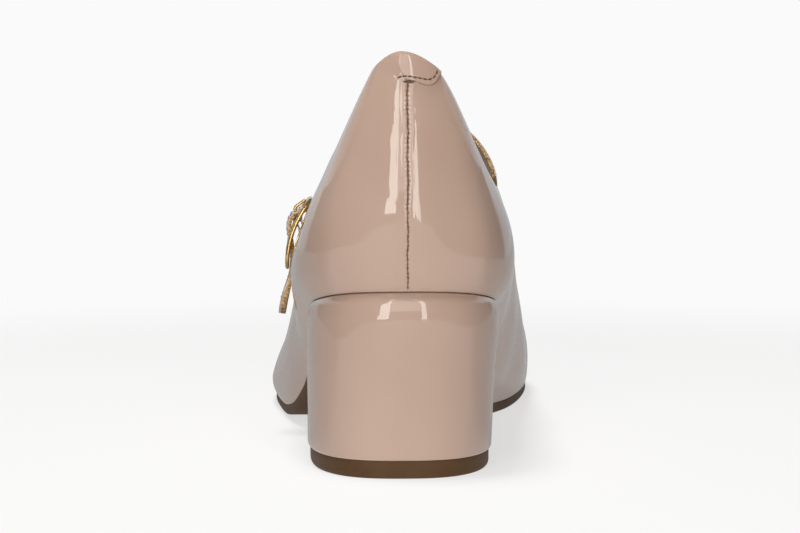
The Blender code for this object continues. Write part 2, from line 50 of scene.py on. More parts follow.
# ---- driving dimensions, millimetres, as the solids have them ----
LENGTH = 243.5
MIDDLE_X = -4.0
WALL = 1.8
SEAM = 0.45  # what the solids leave open between upper, sole and heel
SOLE_THICKNESS = 2.8
INSOLE_THICKNESS = 2.4
INSOLE_INSET = 2.6
TOP_PIECE_THICKNESS = 5.0
TOP_PIECE_INSET = 0.75
HEEL_BREAST = 43.0
HEEL_FOOT_HALF_WIDTH = 26.6
HEEL_FOOT_LEAN = 1.2
HEEL_ROUNDNESS = 2.75
STRAP_WIDTH = 11.0
STRAP_THICKNESS = 1.4
TAIL_TWIST = math.radians(-2)
TAIL_THICKNESS = 2.2
TAIL_HEIGHTS = (42.0, 52.0)
INSTEP_HEIGHTS = (74.0, 90.0)
INSTEP_SLOPE = math.radians(30)
BUCKLE_HALF_LENGTH = 10.6
BUCKLE_HALF_WIDTH = 8.2
BUCKLE_CORNER = 4.2
BUCKLE_BEND = 30.0
BUCKLE_RIM = (2.2, 1.3)
BUCKLE_BAR_RADIUS = 0.75
BUCKLE_BAR_AT = -3.6
BUCKLE_MIDDLE = (32.2, 91.0, 62.4)
BUCKLE_LEAN = math.radians(19)
TAB_WIDTH = 8.0

BOTTOM_LINE = (
    # station, height of the feather edge
    (0.0, 52.7), (20.0, 48.9), (43.0, 43.9), (60.0, 36.2), (80.0, 24.0), (98.0, 12.8),
    (114.0, 5.9), (130.0, 3.7), (144.0, SOLE_THICKNESS + SEAM), (188.0, SOLE_THICKNESS + SEAM),
    (215.0, 4.9), (LENGTH, 10.5),
)
UPPER_SECTIONS = (
    # feather x, s | belly x, s, z    | top x, s, z          | rise, reach, lift
    (0.0, 2.2, 0.0, 0.0, 72.0, 0.0, 6.6, 118.0, 0.42, 0.55, 0.78),  # back of the heel
    (16.0, 6.6, 19.0, 5.4, 67.0, 8.5, 9.2, 115.4, 0.29, 0.50, 0.76),
    (24.4, 20.0, 28.2, 20.5, 62.0, 11.9, 20.5, 106.0, 0.29, 0.56, 0.72),
    (27.0, 42.0, 31.8, 42.5, 56.0, 17.0, 42.0, 94.5, 0.27, 0.64, 0.56),
    (26.6, 66.0, 32.6, 66.0, 51.0, 22.3, 65.0, 82.0, 0.32, 0.52, 0.68),
    (28.2, 91.0, 31.3, 90.0, 41.0, 24.0, 89.0, 70.2, 0.42, 0.40, 0.76),  # under the buckle
    (33.6, 118.0, 34.2, 117.0, 18.0, 25.6, 110.0, 63.0, 0.20, 0.45, 0.76),
    (36.2, 141.0, 37.4, 141.0, 10.0, 23.4, 130.0, 56.0, 0.06, 0.44, 0.72),
    (37.9, 165.0, 39.2, 165.0, 8.0, 18.0, 147.0, 51.4, 0.06, 0.40, 0.62),
    (34.8, 193.0, 36.2, 194.0, 9.0, 10.4, 156.6, 48.6, 0.22, 0.36, 0.72),
    (23.4, 222.0, 25.0, 224.0, 12.0, 3.6, 160.6, 47.5, 0.34, 0.38, 0.70),
    (-9.0, 241.4, -9.0, LENGTH, 17.0, -4.0, 161.8, 47.2, 0.30, 0.40, 0.66),  # toe
    (-36.0, 226.0, -37.4, 228.0, 14.0, -11.6, 160.2, 47.9, 0.34, 0.38, 0.70),
    (-46.0, 200.0, -47.0, 200.0, 11.5, -18.0, 155.4, 49.4, 0.38, 0.34, 0.80),
    (-44.3, 172.0, -45.4, 172.0, 12.0, -24.6, 145.0, 52.6, 0.36, 0.34, 0.84),
    (-38.7, 147.0, -42.9, 147.0, 19.0, -29.2, 129.0, 58.6, 0.36, 0.36, 0.82),
    (-30.8, 123.0, -39.2, 122.0, 33.0, -30.2, 115.0, 66.4, 0.42, 0.40, 0.78),
    (-27.6, 103.0, -36.8, 102.0, 42.0, -31.0, 101.0, 74.8, 0.42, 0.42, 0.76),  # strap ear
    (-26.4, 84.0, -34.4, 84.0, 50.0, -28.2, 85.0, 77.0, 0.40, 0.40, 0.80),
    (-26.4, 64.0, -33.6, 64.0, 54.0, -23.6, 64.0, 84.8, 0.34, 0.42, 0.80),
    (-27.0, 42.0, -32.4, 42.5, 58.0, -17.9, 42.0, 95.0, 0.38, 0.49, 0.62),
    (-24.4, 20.0, -28.2, 20.5, 62.0, -12.4, 20.5, 106.0, 0.31, 0.60, 0.78),
    (-16.0, 6.6, -19.0, 5.4, 67.0, -8.8, 9.6, 113.5, 0.25, 0.46, 0.80),
)
EAR_SECTION = 17
BELLY_SHARE = 0.3
HEEL_LEVELS = (
    # way down, and how far widths and stations have come from the seat's to the foot's
    (0.0, 0.0, 0.0), (0.05, 0.05, 0.8), (0.16, 0.2, 1.0), (0.5, 0.65, 1.0), (1.0, 1.0, 1.0),
)
STRAP_ROUTE = (
    # x, s, z
    (-29.3, 103.0, 79.6), (-27.1, 104.4, 83.6), (-23.6, 106.6, 87.8), (-18.0, 108.6, 91.8),
    (-10.0, 110.0, 95.0), (-2.0, 110.0, 95.4), (6.0, 108.6, 92.6), (12.6, 105.8, 87.6),
    (18.2, 101.2, 81.0), (22.5, 96.0, 75.6),
)
STRAP_THROUGH_BUCKLE = (
    # along, out
    (-11.6, -1.6), (-9.6, -1.6), (-8.0, -0.9), (-6.4, 0.5), (-5.0, 1.5), (-3.6, 1.9), (-0.9, 1.5),
    (3.0, -0.3), (6.8, -1.4), (10.6, -1.6), (14.0, -0.9), (18.0, 1.2), (23.6, 5.2),
)
PRONG_ROUTE = (
    # along, out, radius
    (-3.6, -1.3, 0.42), (-4.9, -0.6, 0.45), (-5.25, 0.4, 0.5), (-5.5, 1.5, 0.5),
    (-6.3, 2.15, 0.5), (-7.7, 1.8, 0.48), (-9.0, 1.35, 0.45), (-9.9, 1.1, 0.36),
)
TAB_ROUTE = (
    # along, out: up to the bar, round it, and back down against the quarter
    (5.4, -2.5), (3.2, -2.5), (1.0, -2.4), (-1.2, -1.7), (-2.4, -0.5), (-2.9, 0.7), (-3.6, 1.0),
    (-4.4, 0.65), (-4.65, -0.1), (-4.4, -0.95), (-3.5, -1.65), (-2.0, -2.35), (1.0, -2.95),
    (3.2, -3.02), (5.4, -3.02),
)

# ---- finish ----
PATENT = (0.49, 0.345, 0.278)
PATENT_DEEP = (0.45, 0.31, 0.245)
# dark brown of the seam's line, and of the painted shade in the pit and the painted shadow along
# the tab's edge
SEAM_MARK_AND_SHADE = (0.10, 0.045, 0.028)
LINING, LINING_DEEP = (0.60, 0.44, 0.33), (0.54, 0.39, 0.29)
RAW_EDGE = (0.42, 0.27, 0.12)
RAW_EDGE_DEEP, RAW_EDGE_PALE = (0.16, 0.085, 0.035), (0.62, 0.43, 0.2)
RUBBER, RUBBER_DEEP = (0.105, 0.058, 0.027), (0.085, 0.046, 0.021)
GOLD, GOLD_DEEP = (0.80, 0.58, 0.27), (0.66, 0.44, 0.17)
THREAD = (0.12, 0.062, 0.038)
PALE_THREAD = (0.62, 0.47, 0.36)


# ---- curves ----
def steady_curve(knots, values, at):
    """A cubic through the knots that never overshoots, and is flat between equal values."""
    knots, values = np.asarray(knots, float), np.asarray(values, float)
    step = np.diff(knots)
    slope = np.diff(values) / step
    bend = np.zeros(len(knots))
    bend[0], bend[-1] = slope[0], slope[-1]
    for i in range(1, len(knots) - 1):
        if slope[i - 1] * slope[i] > 0:
            near, far = 2 * step[i] + step[i - 1], step[i] + 2 * step[i - 1]
            bend[i] = (near + far) / (near / slope[i - 1] + far / slope[i])
    at = np.asarray(at, float)
    cell = np.clip(np.searchsorted(knots, at) - 1, 0, len(step) - 1)
    t = (at - knots[cell]) / step[cell]
    h = step[cell]
    return (
        values[cell] * (1 + 2 * t) * (1 - t) ** 2
        + values[cell + 1] * t * t * (3 - 2 * t)
        + bend[cell] * h * t * (1 - t) ** 2
        - bend[cell + 1] * h * t * t * (1 - t)
    )


def curve_at(knots, rows, at, closed=False):
    """The twice-smooth cubic through rows of numbers at these knots, between 0 and 1."""
    step = np.diff(knots)[:, None]
    slope = np.diff(rows, axis=0) / step
    n = len(rows)
    system, target = np.eye(n), np.zeros_like(rows)
    for i in range(1, n - 1):
        system[i, i - 1 : i + 2] = step[i - 1, 0], 2 * (step[i - 1, 0] + step[i, 0]), step[i, 0]
        target[i] = 6 * (slope[i] - slope[i - 1])
    if closed:
        system[0, :2] = 2 * (step[-1, 0] + step[0, 0]), step[0, 0]
        system[0, n - 2] = step[-1, 0]
        target[0] = 6 * (slope[0] - slope[-1])
        system[-1, 0] = -1.0
    curl = np.linalg.solve(system, target)
    at = np.asarray(at, float)
    cell = np.clip(np.searchsorted(knots, at, side="right") - 1, 0, len(step) - 1)
    h = step[cell]
    t = ((at - knots[cell]) / h[:, 0])[:, None]
    return (
        (1 - t) * rows[cell]
        + t * rows[cell + 1]
        + h * h / 6 * (((1 - t) ** 3 - (1 - t)) * curl[cell] + (t**3 - t) * curl[cell + 1])
    )


def way_along(points):
    """Distance along a line of points, 0 at the first."""
    return np.concatenate([[0], np.cumsum(np.linalg.norm(np.diff(points, axis=0), axis=1))])


def unit(rows):
    return rows / np.linalg.norm(rows, axis=-1, keepdims=True)


def smooth_curve(points, count):
    """Points along the smooth curve through rows of numbers, evenly spaced by distance."""
    rows = np.asarray(points, float)
    knots = way_along(rows)
    return curve_at(knots / knots[-1], rows, np.linspace(0, 1, count))


def hump(value, width, power=2):
    """1 at 0, falling away on both sides over a width."""
    return np.exp(-((value / width) ** power))


def bezier(a, b, c, d, t):
    return (1 - t) ** 3 * a + 3 * t * (1 - t) ** 2 * b + 3 * t * t * (1 - t) * c + t**3 * d


def soft_step(value, start, end):
    """0 on start's side, 1 on end's side, and smooth between them."""
    t = np.clip((np.asarray(value, float) - start) / (end - start), 0, 1)
    return t * t * (3 - 2 * t)


# ---- the upper's own function ----
SMALL = 1e-4  # step, as a share, over which slopes are taken


def bottom_height(s):
    stations, heights = zip(*BOTTOM_LINE)
    return steady_curve(stations, heights, s)


def section_knots():
    feather = np.array([row[:2] for row in UPPER_SECTIONS])
    way = way_along(np.vstack([feather, feather[:1]]))
    return way / way[-1]


def sections_at(around):
    rows = np.array(UPPER_SECTIONS + UPPER_SECTIONS[:1], float)
    return curve_at(section_knots(), rows, np.mod(around, 1.0), closed=True)


def upper_point(around, up):
    """Points of the upper's outer face: round the shoe, and from feather (0) to topline (1)."""
    around, up = np.asarray(around, float).ravel(), np.asarray(up, float).ravel()
    row = sections_at(around)
    feather = np.column_stack([row[:, 0], row[:, 1], bottom_height(row[:, 1])])
    belly, top = row[:, 2:5], row[:, 5:8]
    rise, reach, lift = row[:, 8:9], row[:, 9:10], row[:, 10:11]
    z = np.array([0.0, 0.0, 1.0])
    above_belly = top - belly
    height = above_belly[:, 2:3]
    shoulder = belly + reach * above_belly * (1 - z) + lift * height * z
    low = np.clip(up / BELLY_SHARE, 0, 1)[:, None]
    high = np.clip((up - BELLY_SHARE) / (1 - BELLY_SHARE), 0, 1)[:, None]
    drop = (belly - feather) * z
    below = bezier(feather, feather + (belly - feather) * (0.5, 0.5, 0.22), belly - 0.5 * drop,
                   belly, low)
    above = bezier(belly, belly + rise * height * z, shoulder, top, high)
    return np.where(up[:, None] < BELLY_SHARE, below, above)


def upper_frame(around, up):
    """Points of the face with their outward normals and the direction up the section."""
    around, up = np.asarray(around, float).ravel(), np.asarray(up, float).ravel()
    level = np.clip(up, SMALL, 1 - SMALL)
    along = upper_point(around + SMALL, level) - upper_point(around - SMALL, level)
    rise = upper_point(around, level + SMALL) - upper_point(around, level - SMALL)
    return upper_point(around, up), unit(np.cross(along, rise)), unit(rise)


def feather_edge(inset=0.0, count=1441):
    """The lower edge in plan, as (x, s) rows going round, drawn in by an inset."""
    around = np.linspace(0, 1, count)
    line = sections_at(around)[:, :2]
    run = sections_at(around + SMALL)[:, :2] - sections_at(around - SMALL)[:, :2]
    inward = np.column_stack([-run[:, 1], run[:, 0]])
    return line + inset * inward / np.linalg.norm(inward, axis=1, keepdims=True)


# ---- meshes ----
def to_world(points):
    x, s, z = np.asarray(points, float).reshape(-1, 3).T
    return np.column_stack([x - MIDDLE_X, LENGTH / 2 - s, z]) * MM


def quads(rows, columns, wrap_rows=False, wrap_columns=False):
    """Four-sided faces over a grid of numbered points."""
    r = np.arange(rows if wrap_rows else rows - 1)[:, None] * columns
    c = np.arange(columns if wrap_columns else columns - 1)[None, :]
    r2, c2 = (r + columns) % (rows * columns), (c + 1) % columns
    return np.stack([r + c, r + c2, r2 + c2, r2 + c], axis=-1).reshape(-1, 4)


def end_caps(rows, columns, first=0):
    """Faces that close both ends of a tube of rings, whose first point has this number."""
    last = first + (rows - 1) * columns
    return [list(range(first, first + columns))[::-1], list(range(last, last + columns))]


def skin(name, grid, wrap_rows=False, wrap_columns=False, caps=False):
    """A smooth mesh over a grid of points in last coordinates."""
    rows, columns = grid.shape[:2]
    faces = quads(rows, columns, wrap_rows, wrap_columns).tolist()
    return mesh_object(name, grid, faces + (end_caps(rows, columns) if caps else []))


def add_object(name, data):
    obj = bpy.data.objects.new(name, data)
    bpy.context.scene.collection.objects.link(obj)
    return obj


def mesh_object(name, points, faces):
    """A smooth mesh of these faces over points in last coordinates."""
    mesh = bpy.data.meshes.new(name)
    mesh.from_pydata(to_world(points).tolist(), [], faces)
    obj = add_object(name, mesh)
    mesh.shade_smooth()
    return obj


@contextmanager
def opened(obj):
    """The object's mesh as one that can be edited, and put back after it."""
    work = bmesh.new()
    work.from_mesh(obj.data)
    yield work
    work.to_mesh(obj.data)
    work.free()


def turn_outward(obj):
    with opened(obj) as work:
        bmesh.ops.recalc_face_normals(work, faces=work.faces)
        if work.calc_volume(signed=True) < 0:
            bmesh.ops.reverse_faces(work, faces=work.faces)
    return obj


def add_seam_mark_and_shade(obj, values=None):
    """How far each point is darkened, which the patent leather reads: the seam's dark line, and
    painted shade in the pit and along the tab's edge. Without values, nowhere.
    """
    made = obj.data.attributes.new("seam_mark_and_shade", "FLOAT", "POINT")
    values = np.zeros(len(obj.data.vertices)) if values is None else values
    made.data.foreach_set("value", np.asarray(values, np.float32).ravel())


def finish(obj, materials, replaced=()):
    """Gives a piece its materials and its body, and hides the parts it replaces."""
    for material in materials:
        obj.data.materials.append(material)
    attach(obj, "root")
    if replaced:
        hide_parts(*replaced)
    return obj


END_OUT, END_ROUND = 0.35, 0.55  # a wire's end ring lies further out and is smaller, by radii


def wire_rings(points, radii, sides):
    """Rings of points round a wire, with a radius at each of its points and rounded ends."""
    points = np.asarray(points, float)
    radii = np.broadcast_to(np.asarray(radii, float), len(points))
    run = unit(np.gradient(points, axis=0))
    side = unit(np.cross(run, (0.0, 1.0, 0.02)))
    other = np.cross(run, side)
    angle = np.linspace(0, 2 * np.pi, sides, endpoint=False)
    ring = (np.cos(angle)[None, :, None] * side[:, None, :]
            + np.sin(angle)[None, :, None] * other[:, None, :])
    rings = points[:, None, :] + radii[:, None, None] * ring
    first, last = (points[i] + way * END_OUT * radii[i] * run[i] + END_ROUND * radii[i] * ring[i]
                   for i, way in ((0, -1), (-1, 1)))
    return np.concatenate([first[None], rings, last[None]])


def tube(name, points, radii, sides=12):
    return skin(name, wire_rings(points, radii, sides), wrap_columns=True, caps=True)


def stitches(name, rows, radii, sides=6):
    """One object of many short threads, all with the same number of points."""
    grids = np.array([wire_rings(points, radii, sides) for points in rows])
    rings, count = grids.shape[1:3]
    starts = range(0, len(grids) * rings * count, rings * count)
    one = quads(rings, count, wrap_columns=True)
    faces = [face for start in starts for face in (one + start).tolist()]
    faces += [face for start in starts for face in end_caps(rings, count, start)]
    return mesh_object(name, grids, faces)


def sheet(name, front, out, thickness):
    """A thin piece of leather: a grid of points in front, a back behind it, and rims."""
    front, out = np.array(front), np.array(out)
    rows, columns = front.shape[:2]
    size = rows * columns
    k = np.arange(size).reshape(rows, columns)
    over = quads(rows, columns)
    faces = over.tolist() + (over[:, ::-1] + size).tolist()
    for line in (k[0, ::-1], k[:, 0], k[-1], k[::-1, -1]):
        a, b = line[:-1], line[1:]
        faces += np.column_stack([a, b, b + size, a + size]).tolist()
    obj = turn_outward(mesh_object(name, np.array([front, front - thickness * out]), faces))
    obj.data.set_sharp_from_angle(angle=math.radians(60))
    return obj


# ---- materials ----
def link_inputs(tree, node, **inputs):
    """Sets a node's inputs to other nodes' outputs, or to plain values. Those called _0, _1 and
    so on are told apart by their number."""
    for name, value in inputs.items():
        socket = node.inputs[int(name[1:])] if name[1:].isdigit() else node.inputs[name]
        if isinstance(value, bpy.types.NodeSocket):
            tree.links.new(value, socket)
        else:
            socket.default_value = value
    return node


def linked(tree, kind, **inputs):
    return link_inputs(tree, tree.nodes.new(kind), **inputs)


def maths(tree, operation, *values, kind="ShaderNodeMath"):
    """What a sum of other nodes' outputs and plain values comes to."""
    made = linked(tree, kind, **{"_%d" % i: value for i, value in enumerate(values)})
    made.operation = operation
    return made.outputs["Value" if operation == "LENGTH" else 0]


def shader(name, colour, roughness, metallic=0.0, coat=0.0, coat_roughness=0.03, specular=0.5):
    """A Principled material, with its tree and its shader to build on."""
    made = bpy.data.materials.new(name)
    made.use_nodes = True
    made.diffuse_color = (*colour, 1.0)
    bsdf = made.node_tree.nodes["Principled BSDF"]
    link_inputs(made.node_tree, bsdf, **{
        "Base Color": (*colour, 1.0), "Roughness": roughness, "Metallic": metallic,
        "Specular IOR Level": specular, "Coat Weight": coat, "Coat Roughness": coat_roughness})
    return made, made.node_tree, bsdf


def noise(tree, scale, detail=2.0, stretch=(1.0, 1.0, 1.0)):
    """Noise in the object's own space, where scale is features in a metre."""
    place = tree.nodes.new("ShaderNodeTexCoord").outputs["Object"]
    mapping = linked(tree, "ShaderNodeMapping", Vector=place, Scale=stretch)
    return linked(tree, "ShaderNodeTexNoise", Vector=mapping.outputs["Vector"], Scale=scale,
                  Detail=detail).outputs["Fac"]


def ramp(tree, value, low, high, dark, light):
    """A colour between two, as a value goes from low to high."""
    made = linked(tree, "ShaderNodeValToRGB", Fac=value)
    for stop, at, colour in zip(made.color_ramp.elements, (low, high), (dark, light)):
        stop.position = at
        stop.color = (*colour, 1.0)
    return made.outputs["Color"]


def mixed(tree, value, first, second):
    """One colour over another, by a value between 0 and 1."""
    made = tree.nodes.new("ShaderNodeMix")
    made.data_type = "RGBA"
    first, second = ((*c, 1.0) if isinstance(c, tuple) else c for c in (first, second))
    return link_inputs(tree, made, Factor=value, A=first, B=second).outputs["Result"]


def bumped(tree, *layers):
    """Bump of several heights, each a (value, depth in millimetres) pair, one on another."""
    normal = None
    for value, depth in layers:
        under = {"Normal": normal} if normal else {}
        normal = linked(tree, "ShaderNodeBump", Strength=1.0, Distance=depth * MM, Height=value,
                        **under).outputs["Normal"]
    return normal


def patent_leather():
    made, tree, bsdf = shader("patent_leather", PATENT, 0.4, coat=1.0, coat_roughness=0.02,
                              specular=0.12)
    body = ramp(tree, noise(tree, 22.0), 0.35, 0.68, PATENT_DEEP, PATENT)
    # what darkens the leather: the seam's dark line, painted shade in the pit under the tab, and a
    # painted shadow along the tab's edge
    seam_mark_and_shade = tree.nodes.new("ShaderNodeAttribute")
    seam_mark_and_shade.attribute_name = "seam_mark_and_shade"
    normal = bumped(tree, (noise(tree, 105.0, 1.0), 0.05), (noise(tree, 900.0), 0.0016))
    link_inputs(tree, bsdf, **{"Base Color": mixed(tree, seam_mark_and_shade.outputs["Fac"], body, SEAM_MARK_AND_SHADE),
                               "Normal": normal, "Coat Normal": normal})
    return made


def grained(name, colour, roughness, dark, grain, span, bumps, light=None, **more):
    """A material whose colour goes from dark to light with noise, and with bumps of noise on it.
    The grain, and the first part of each bump, say what noise; span is where its colours end."""
    made, tree, bsdf = shader(name, colour, roughness, **more)
    body = ramp(tree, noise(tree, *grain), *span, dark, light or colour)
    normal = bumped(tree, *((noise(tree, *what), depth) for what, depth in bumps))
    link_inputs(tree, bsdf, **{"Base Color": body, "Normal": normal})
    return made


def lining_leather(name):
    return grained(name, LINING, 0.55, LINING_DEEP, (60.0, 4.0), (0.3, 0.7),
                   (((1600.0, 3.0), 0.02), ((240.0,), 0.03)), coat=0.1, coat_roughness=0.4)


def raw_edge():
    return grained("raw_edge", RAW_EDGE, 0.42, RAW_EDGE_DEEP, (1500.0, 3.0), (0.38, 0.66),
                   (((1500.0, 3.0), 0.09),), light=RAW_EDGE_PALE, metallic=0.6)


def brown_rubber():
    return grained("brown_rubber", RUBBER, 0.5, RUBBER_DEEP, (90.0, 5.0), (0.3, 0.7),
                   (((2600.0, 3.0), 0.012), ((160.0,), 0.02)), specular=0.1)


def gold_plate():
    scratches = 1400.0, 3.0, (1.0, 1.0, 0.12)
    return grained("gold_plate", GOLD, 0.2, GOLD_DEEP, (700.0, 3.0), (0.3, 0.75),
                   ((scratches, 0.006),), metallic=1.0)


def thread(name, colour):
    dark = tuple(0.5 * part for part in colour)
    return grained(name, colour, 0.7, dark, (2400.0,), (0.35, 0.7), (((5000.0,), 0.03),))


# ---- camera, light and floor ----
VIEW_YAW = math.radians(1.8)  # the camera stands this far round to the lateral side
VIEW_PITCH = math.radians(5.209)
VIEW_DISTANCE = 850.0  # from the back of the heel, in millimetres
VIEW_HEIGHT = 136.96
VIEW_SIDE = 2.2  # how far it is moved to its left
LENS_MM, SENSOR_MM = 138.78, 36.0


def make_camera():
    ahead = np.array([-math.sin(VIEW_YAW) * math.cos(VIEW_PITCH),
                      -math.cos(VIEW_YAW) * math.cos(VIEW_PITCH), -math.sin(VIEW_PITCH)])
    right = np.array([-math.cos(VIEW_YAW), math.sin(VIEW_YAW), 0.0])
    up = np.cross(right, ahead)
    heel = np.array([-MIDDLE_X, LENGTH / 2, 0.0])
    place = heel + VIEW_DISTANCE * np.array([math.sin(VIEW_YAW), math.cos(VIEW_YAW), 0.0])
    place = place - VIEW_SIDE * right
    place[2] = VIEW_HEIGHT
    data = bpy.data.cameras.new("camera")
    data.lens = LENS_MM
    data.sensor_width = SENSOR_MM
    camera = add_object("camera", data)
    camera.matrix_world = (Matrix.Translation(Vector(place * MM))
                           @ Matrix(np.column_stack([right, up, -ahead]).tolist()).to_4x4())
    bpy.context.scene.camera = camera


def area_light(name, place, target, size, power, colour=(1.0, 1.0, 1.0), glossy=True):
    data = bpy.data.lights.new(name, "AREA")
    data.shape = "RECTANGLE"
    data.size, data.size_y = size
    data.energy = power
    data.color = colour
    light = add_object(name, data)
    light.location = place
    light.rotation_euler = (Vector(target) - Vector(place)).to_track_quat("-Z", "Y").to_euler()
    light.visible_glossy = glossy
    light.visible_camera = False


# Directions that the gloss sees: cosines are from the camera's side, sines from the level.
SOFT_SIDE, SOFT_TOP = 0.02, 0.005  # how soft the backdrop's sides and top are, each way
BACKDROP_EDGE = -0.83  # the white backdrop starts at this cosine, low down
BACKDROP_RISE = 3.9  # and comes this much further round with each unit of the sine, from here up
BACKDROP_BEND = 0.09
BACKDROP_MOST, BACKDROP_LEAN = 0.02, 0.12  # but no further than this, less on the lateral side
BACKDROP_TOP = 0.375  # sine where it ends
BACKDROP_TILT = 0.03  # how much lower that is on the lateral side
BACKDROP = (0.78, 0.82, 0.84)
BACKDROP_LOW = (0.50, 0.53, 0.55)  # near the level of the table
ROOM = (0.20, 0.17, 0.15)
FILL = 0.15  # what the room gives to matt surfaces, of what it shows in the gloss
PAPER = 0.955  # how bright the paper and the backdrop are
PAPER_GLOW = 0.64
TABLE = ((-0.30, 0.44), (-1.0, 0.62))  # its sides, and its ends from the heel, in metres
PLAIN_FROM, PLAIN_TO = 0.2, 0.4  # beyond this the paper takes no shadow, in metres
SHADED_FROM, SHADED_TO = 0.12, 0.04  # the paper beside and beyond the shoe, by distance along it,
SHADED = 0.56  # is this much darker in the gloss
STRIP_AWAY = 1.2  # distance of the strips of light from the back of the heel, in metres
STRIP_LEVEL = 0.075  # height that their elevations are taken from
STRIP_COLOUR = (1.0, 0.98, 0.93)
STRIPS = (
    # name, direction from the heel, width seen, lowest and highest elevation, power of a square
    # metre. The left strip narrows with height.
    ("strip_left_1", 19.6, 13.2, -3.8, 0.0, 22.6),
    ("strip_left_2", 18.5, 11.0, 0.0, 17.0, 22.6),
    ("strip_left_3", 17.4, 8.8, 17.0, 20.0, 22.6),
    ("strip_left_4", 16.5, 7.0, 20.0, 23.0, 22.6),
    ("strip_left_5", 15.7, 5.4, 23.0, 27.0, 22.6),
    ("strip_left_6", 15.0, 4.0, 27.0, 45.0, 22.6),
    ("strip_left_7", 17.0, 8.0, 56.0, 68.0, 22.6),
    ("strip_right_1", -15.3, 4.6, -6.5, 45.0, 21.4),
    ("strip_right_2", -15.3, 5.0, 56.0, 68.0, 21.4),
    ("glow", 0.0, 27.0, 4.0, 45.0, 6.0),
)
SOFT_LIGHTS = (
    # name, place and target in metres, size, power: the gloss does not show them
    ("key", (0.25, 1.1, 0.5), (0.0, 0.05, 0.05), 0.7, 2.4),
    ("overhead", (0.13, 0.04, 1.2), (0.0, 0.05, 0.0), 0.3, 10.0),
)


def between(tree, value, low, high):
    """0 below low and 1 above high, smooth between them."""
    made = tree.nodes.new("ShaderNodeMapRange")
    made.interpolation_type = "SMOOTHSTEP"
    return link_inputs(tree, made, _0=value, _1=low, _2=high).outputs["Result"]


def make_world():
    """A white backdrop behind the shoe, and a darker room on the side that faces the camera."""
    world = bpy.data.worlds.new("studio")
    bpy.context.scene.world = world
    world.use_nodes = True
    tree = world.node_tree
    place = tree.nodes.new("ShaderNodeTexCoord").outputs["Generated"]
    rays = tree.nodes.new("ShaderNodeLightPath").outputs
    flat = maths(tree, "MULTIPLY", place, (1.0, 1.0, 0.0), kind="ShaderNodeVectorMath")
    level = maths(tree, "NORMALIZE", flat, kind="ShaderNodeVectorMath")
    level = linked(tree, "ShaderNodeSeparateXYZ", _0=level).outputs
    height = linked(tree, "ShaderNodeSeparateXYZ", _0=place).outputs["Z"]
    rising = maths(tree, "MULTIPLY_ADD", height, BACKDROP_RISE,
                   BACKDROP_EDGE - BACKDROP_RISE * BACKDROP_BEND)
    edge = maths(tree, "MAXIMUM", rising, BACKDROP_EDGE)
    most = maths(tree, "MULTIPLY_ADD", level["X"], -BACKDROP_LEAN, BACKDROP_MOST)
    inside = maths(tree, "SUBTRACT", level["Y"], maths(tree, "MINIMUM", edge, most))
    tilted = maths(tree, "MULTIPLY_ADD", level["X"], BACKDROP_TILT, height)
    room = maths(tree, "MAXIMUM", between(tree, inside, -SOFT_SIDE, SOFT_SIDE),
                 between(tree, tilted, BACKDROP_TOP - SOFT_TOP, BACKDROP_TOP + SOFT_TOP))
    lit = mixed(tree, between(tree, height, 0.0, 0.1), BACKDROP_LOW, BACKDROP)
    studio = mixed(tree, room, lit, ROOM)
    link_inputs(tree, tree.nodes["Background"],
                Color=mixed(tree, rays["Is Camera Ray"], studio, (PAPER, PAPER, PAPER)),
                Strength=maths(tree, "MULTIPLY_ADD", rays["Is Diffuse Ray"], FILL - 1, 1.0))


def make_floor():
    """Paper under the shoe that takes its shadow, and that fades into the backdrop further out."""
    made, tree, bsdf = shader("backdrop_paper", (0.3, 0.3, 0.3), 0.7, specular=0.0)
    link_inputs(tree, bsdf, **{"Normal": bumped(tree, (noise(tree, 400.0), 0.01)),
                               "Emission Color": (1.0, 1.0, 1.0, 1.0),
                               "Emission Strength": PAPER_GLOW})
    plain = linked(tree, "ShaderNodeEmission", Color=(PAPER, PAPER, PAPER, 1.0))
    place = tree.nodes.new("ShaderNodeTexCoord").outputs["Object"]
    reach = maths(tree, "LENGTH", place, kind="ShaderNodeVectorMath")
    either = linked(tree, "ShaderNodeMixShader", _0=between(tree, reach, PLAIN_FROM, PLAIN_TO),
                    _1=bsdf.outputs["BSDF"], _2=plain.outputs["Emission"])
    along = linked(tree, "ShaderNodeSeparateXYZ", _0=place).outputs["Y"]
    shade = maths(tree, "MULTIPLY_ADD", between(tree, along, SHADED_TO, SHADED_FROM), -SHADED,
                  SHADED)
    glossy = tree.nodes.new("ShaderNodeLightPath").outputs["Is Glossy Ray"]
    black = linked(tree, "ShaderNodeEmission", Strength=0.0)
    paper = linked(tree, "ShaderNodeMixShader", _0=maths(tree, "MULTIPLY", shade, glossy),
                   _1=either.outputs["Shader"], _2=black.outputs["Emission"])
    tree.links.new(paper.outputs["Shader"], tree.nodes["Material Output"].inputs["Surface"])
    (right, left), (far, near) = TABLE
    near += LENGTH / 2 * MM
    mesh = bpy.data.meshes.new("floor")
    mesh.from_pydata([(right, far, 0), (left, far, 0), (left, near, 0), (right, near, 0)], [],
                     [(0, 1, 2, 3)])
    mesh.materials.append(made)
    add_object("floor", mesh)


def make_studio():
    bpy.context.scene.view_settings.view_transform = "Standard"
    make_world()
    heel = LENGTH / 2 * MM
    for name, direction, width, lowest, highest, power in STRIPS:
        angle = math.radians(direction)
        low, high = (STRIP_LEVEL + STRIP_AWAY * math.tan(math.radians(level))
                     for level in (lowest, highest))
        middle = (low + high) / 2
        place = (STRIP_AWAY * math.sin(angle), heel + STRIP_AWAY * math.cos(angle), middle)
        wide = 2 * STRIP_AWAY * math.tan(math.radians(width / 2))
        area_light(name, place, (0.0, heel, middle), (wide, high - low),
                   power * wide * (high - low), STRIP_COLOUR)
    for name, place, target, size, power in SOFT_LIGHTS:
        area_light(name, place, target, (size, size), power, glossy=False)
    make_floor()


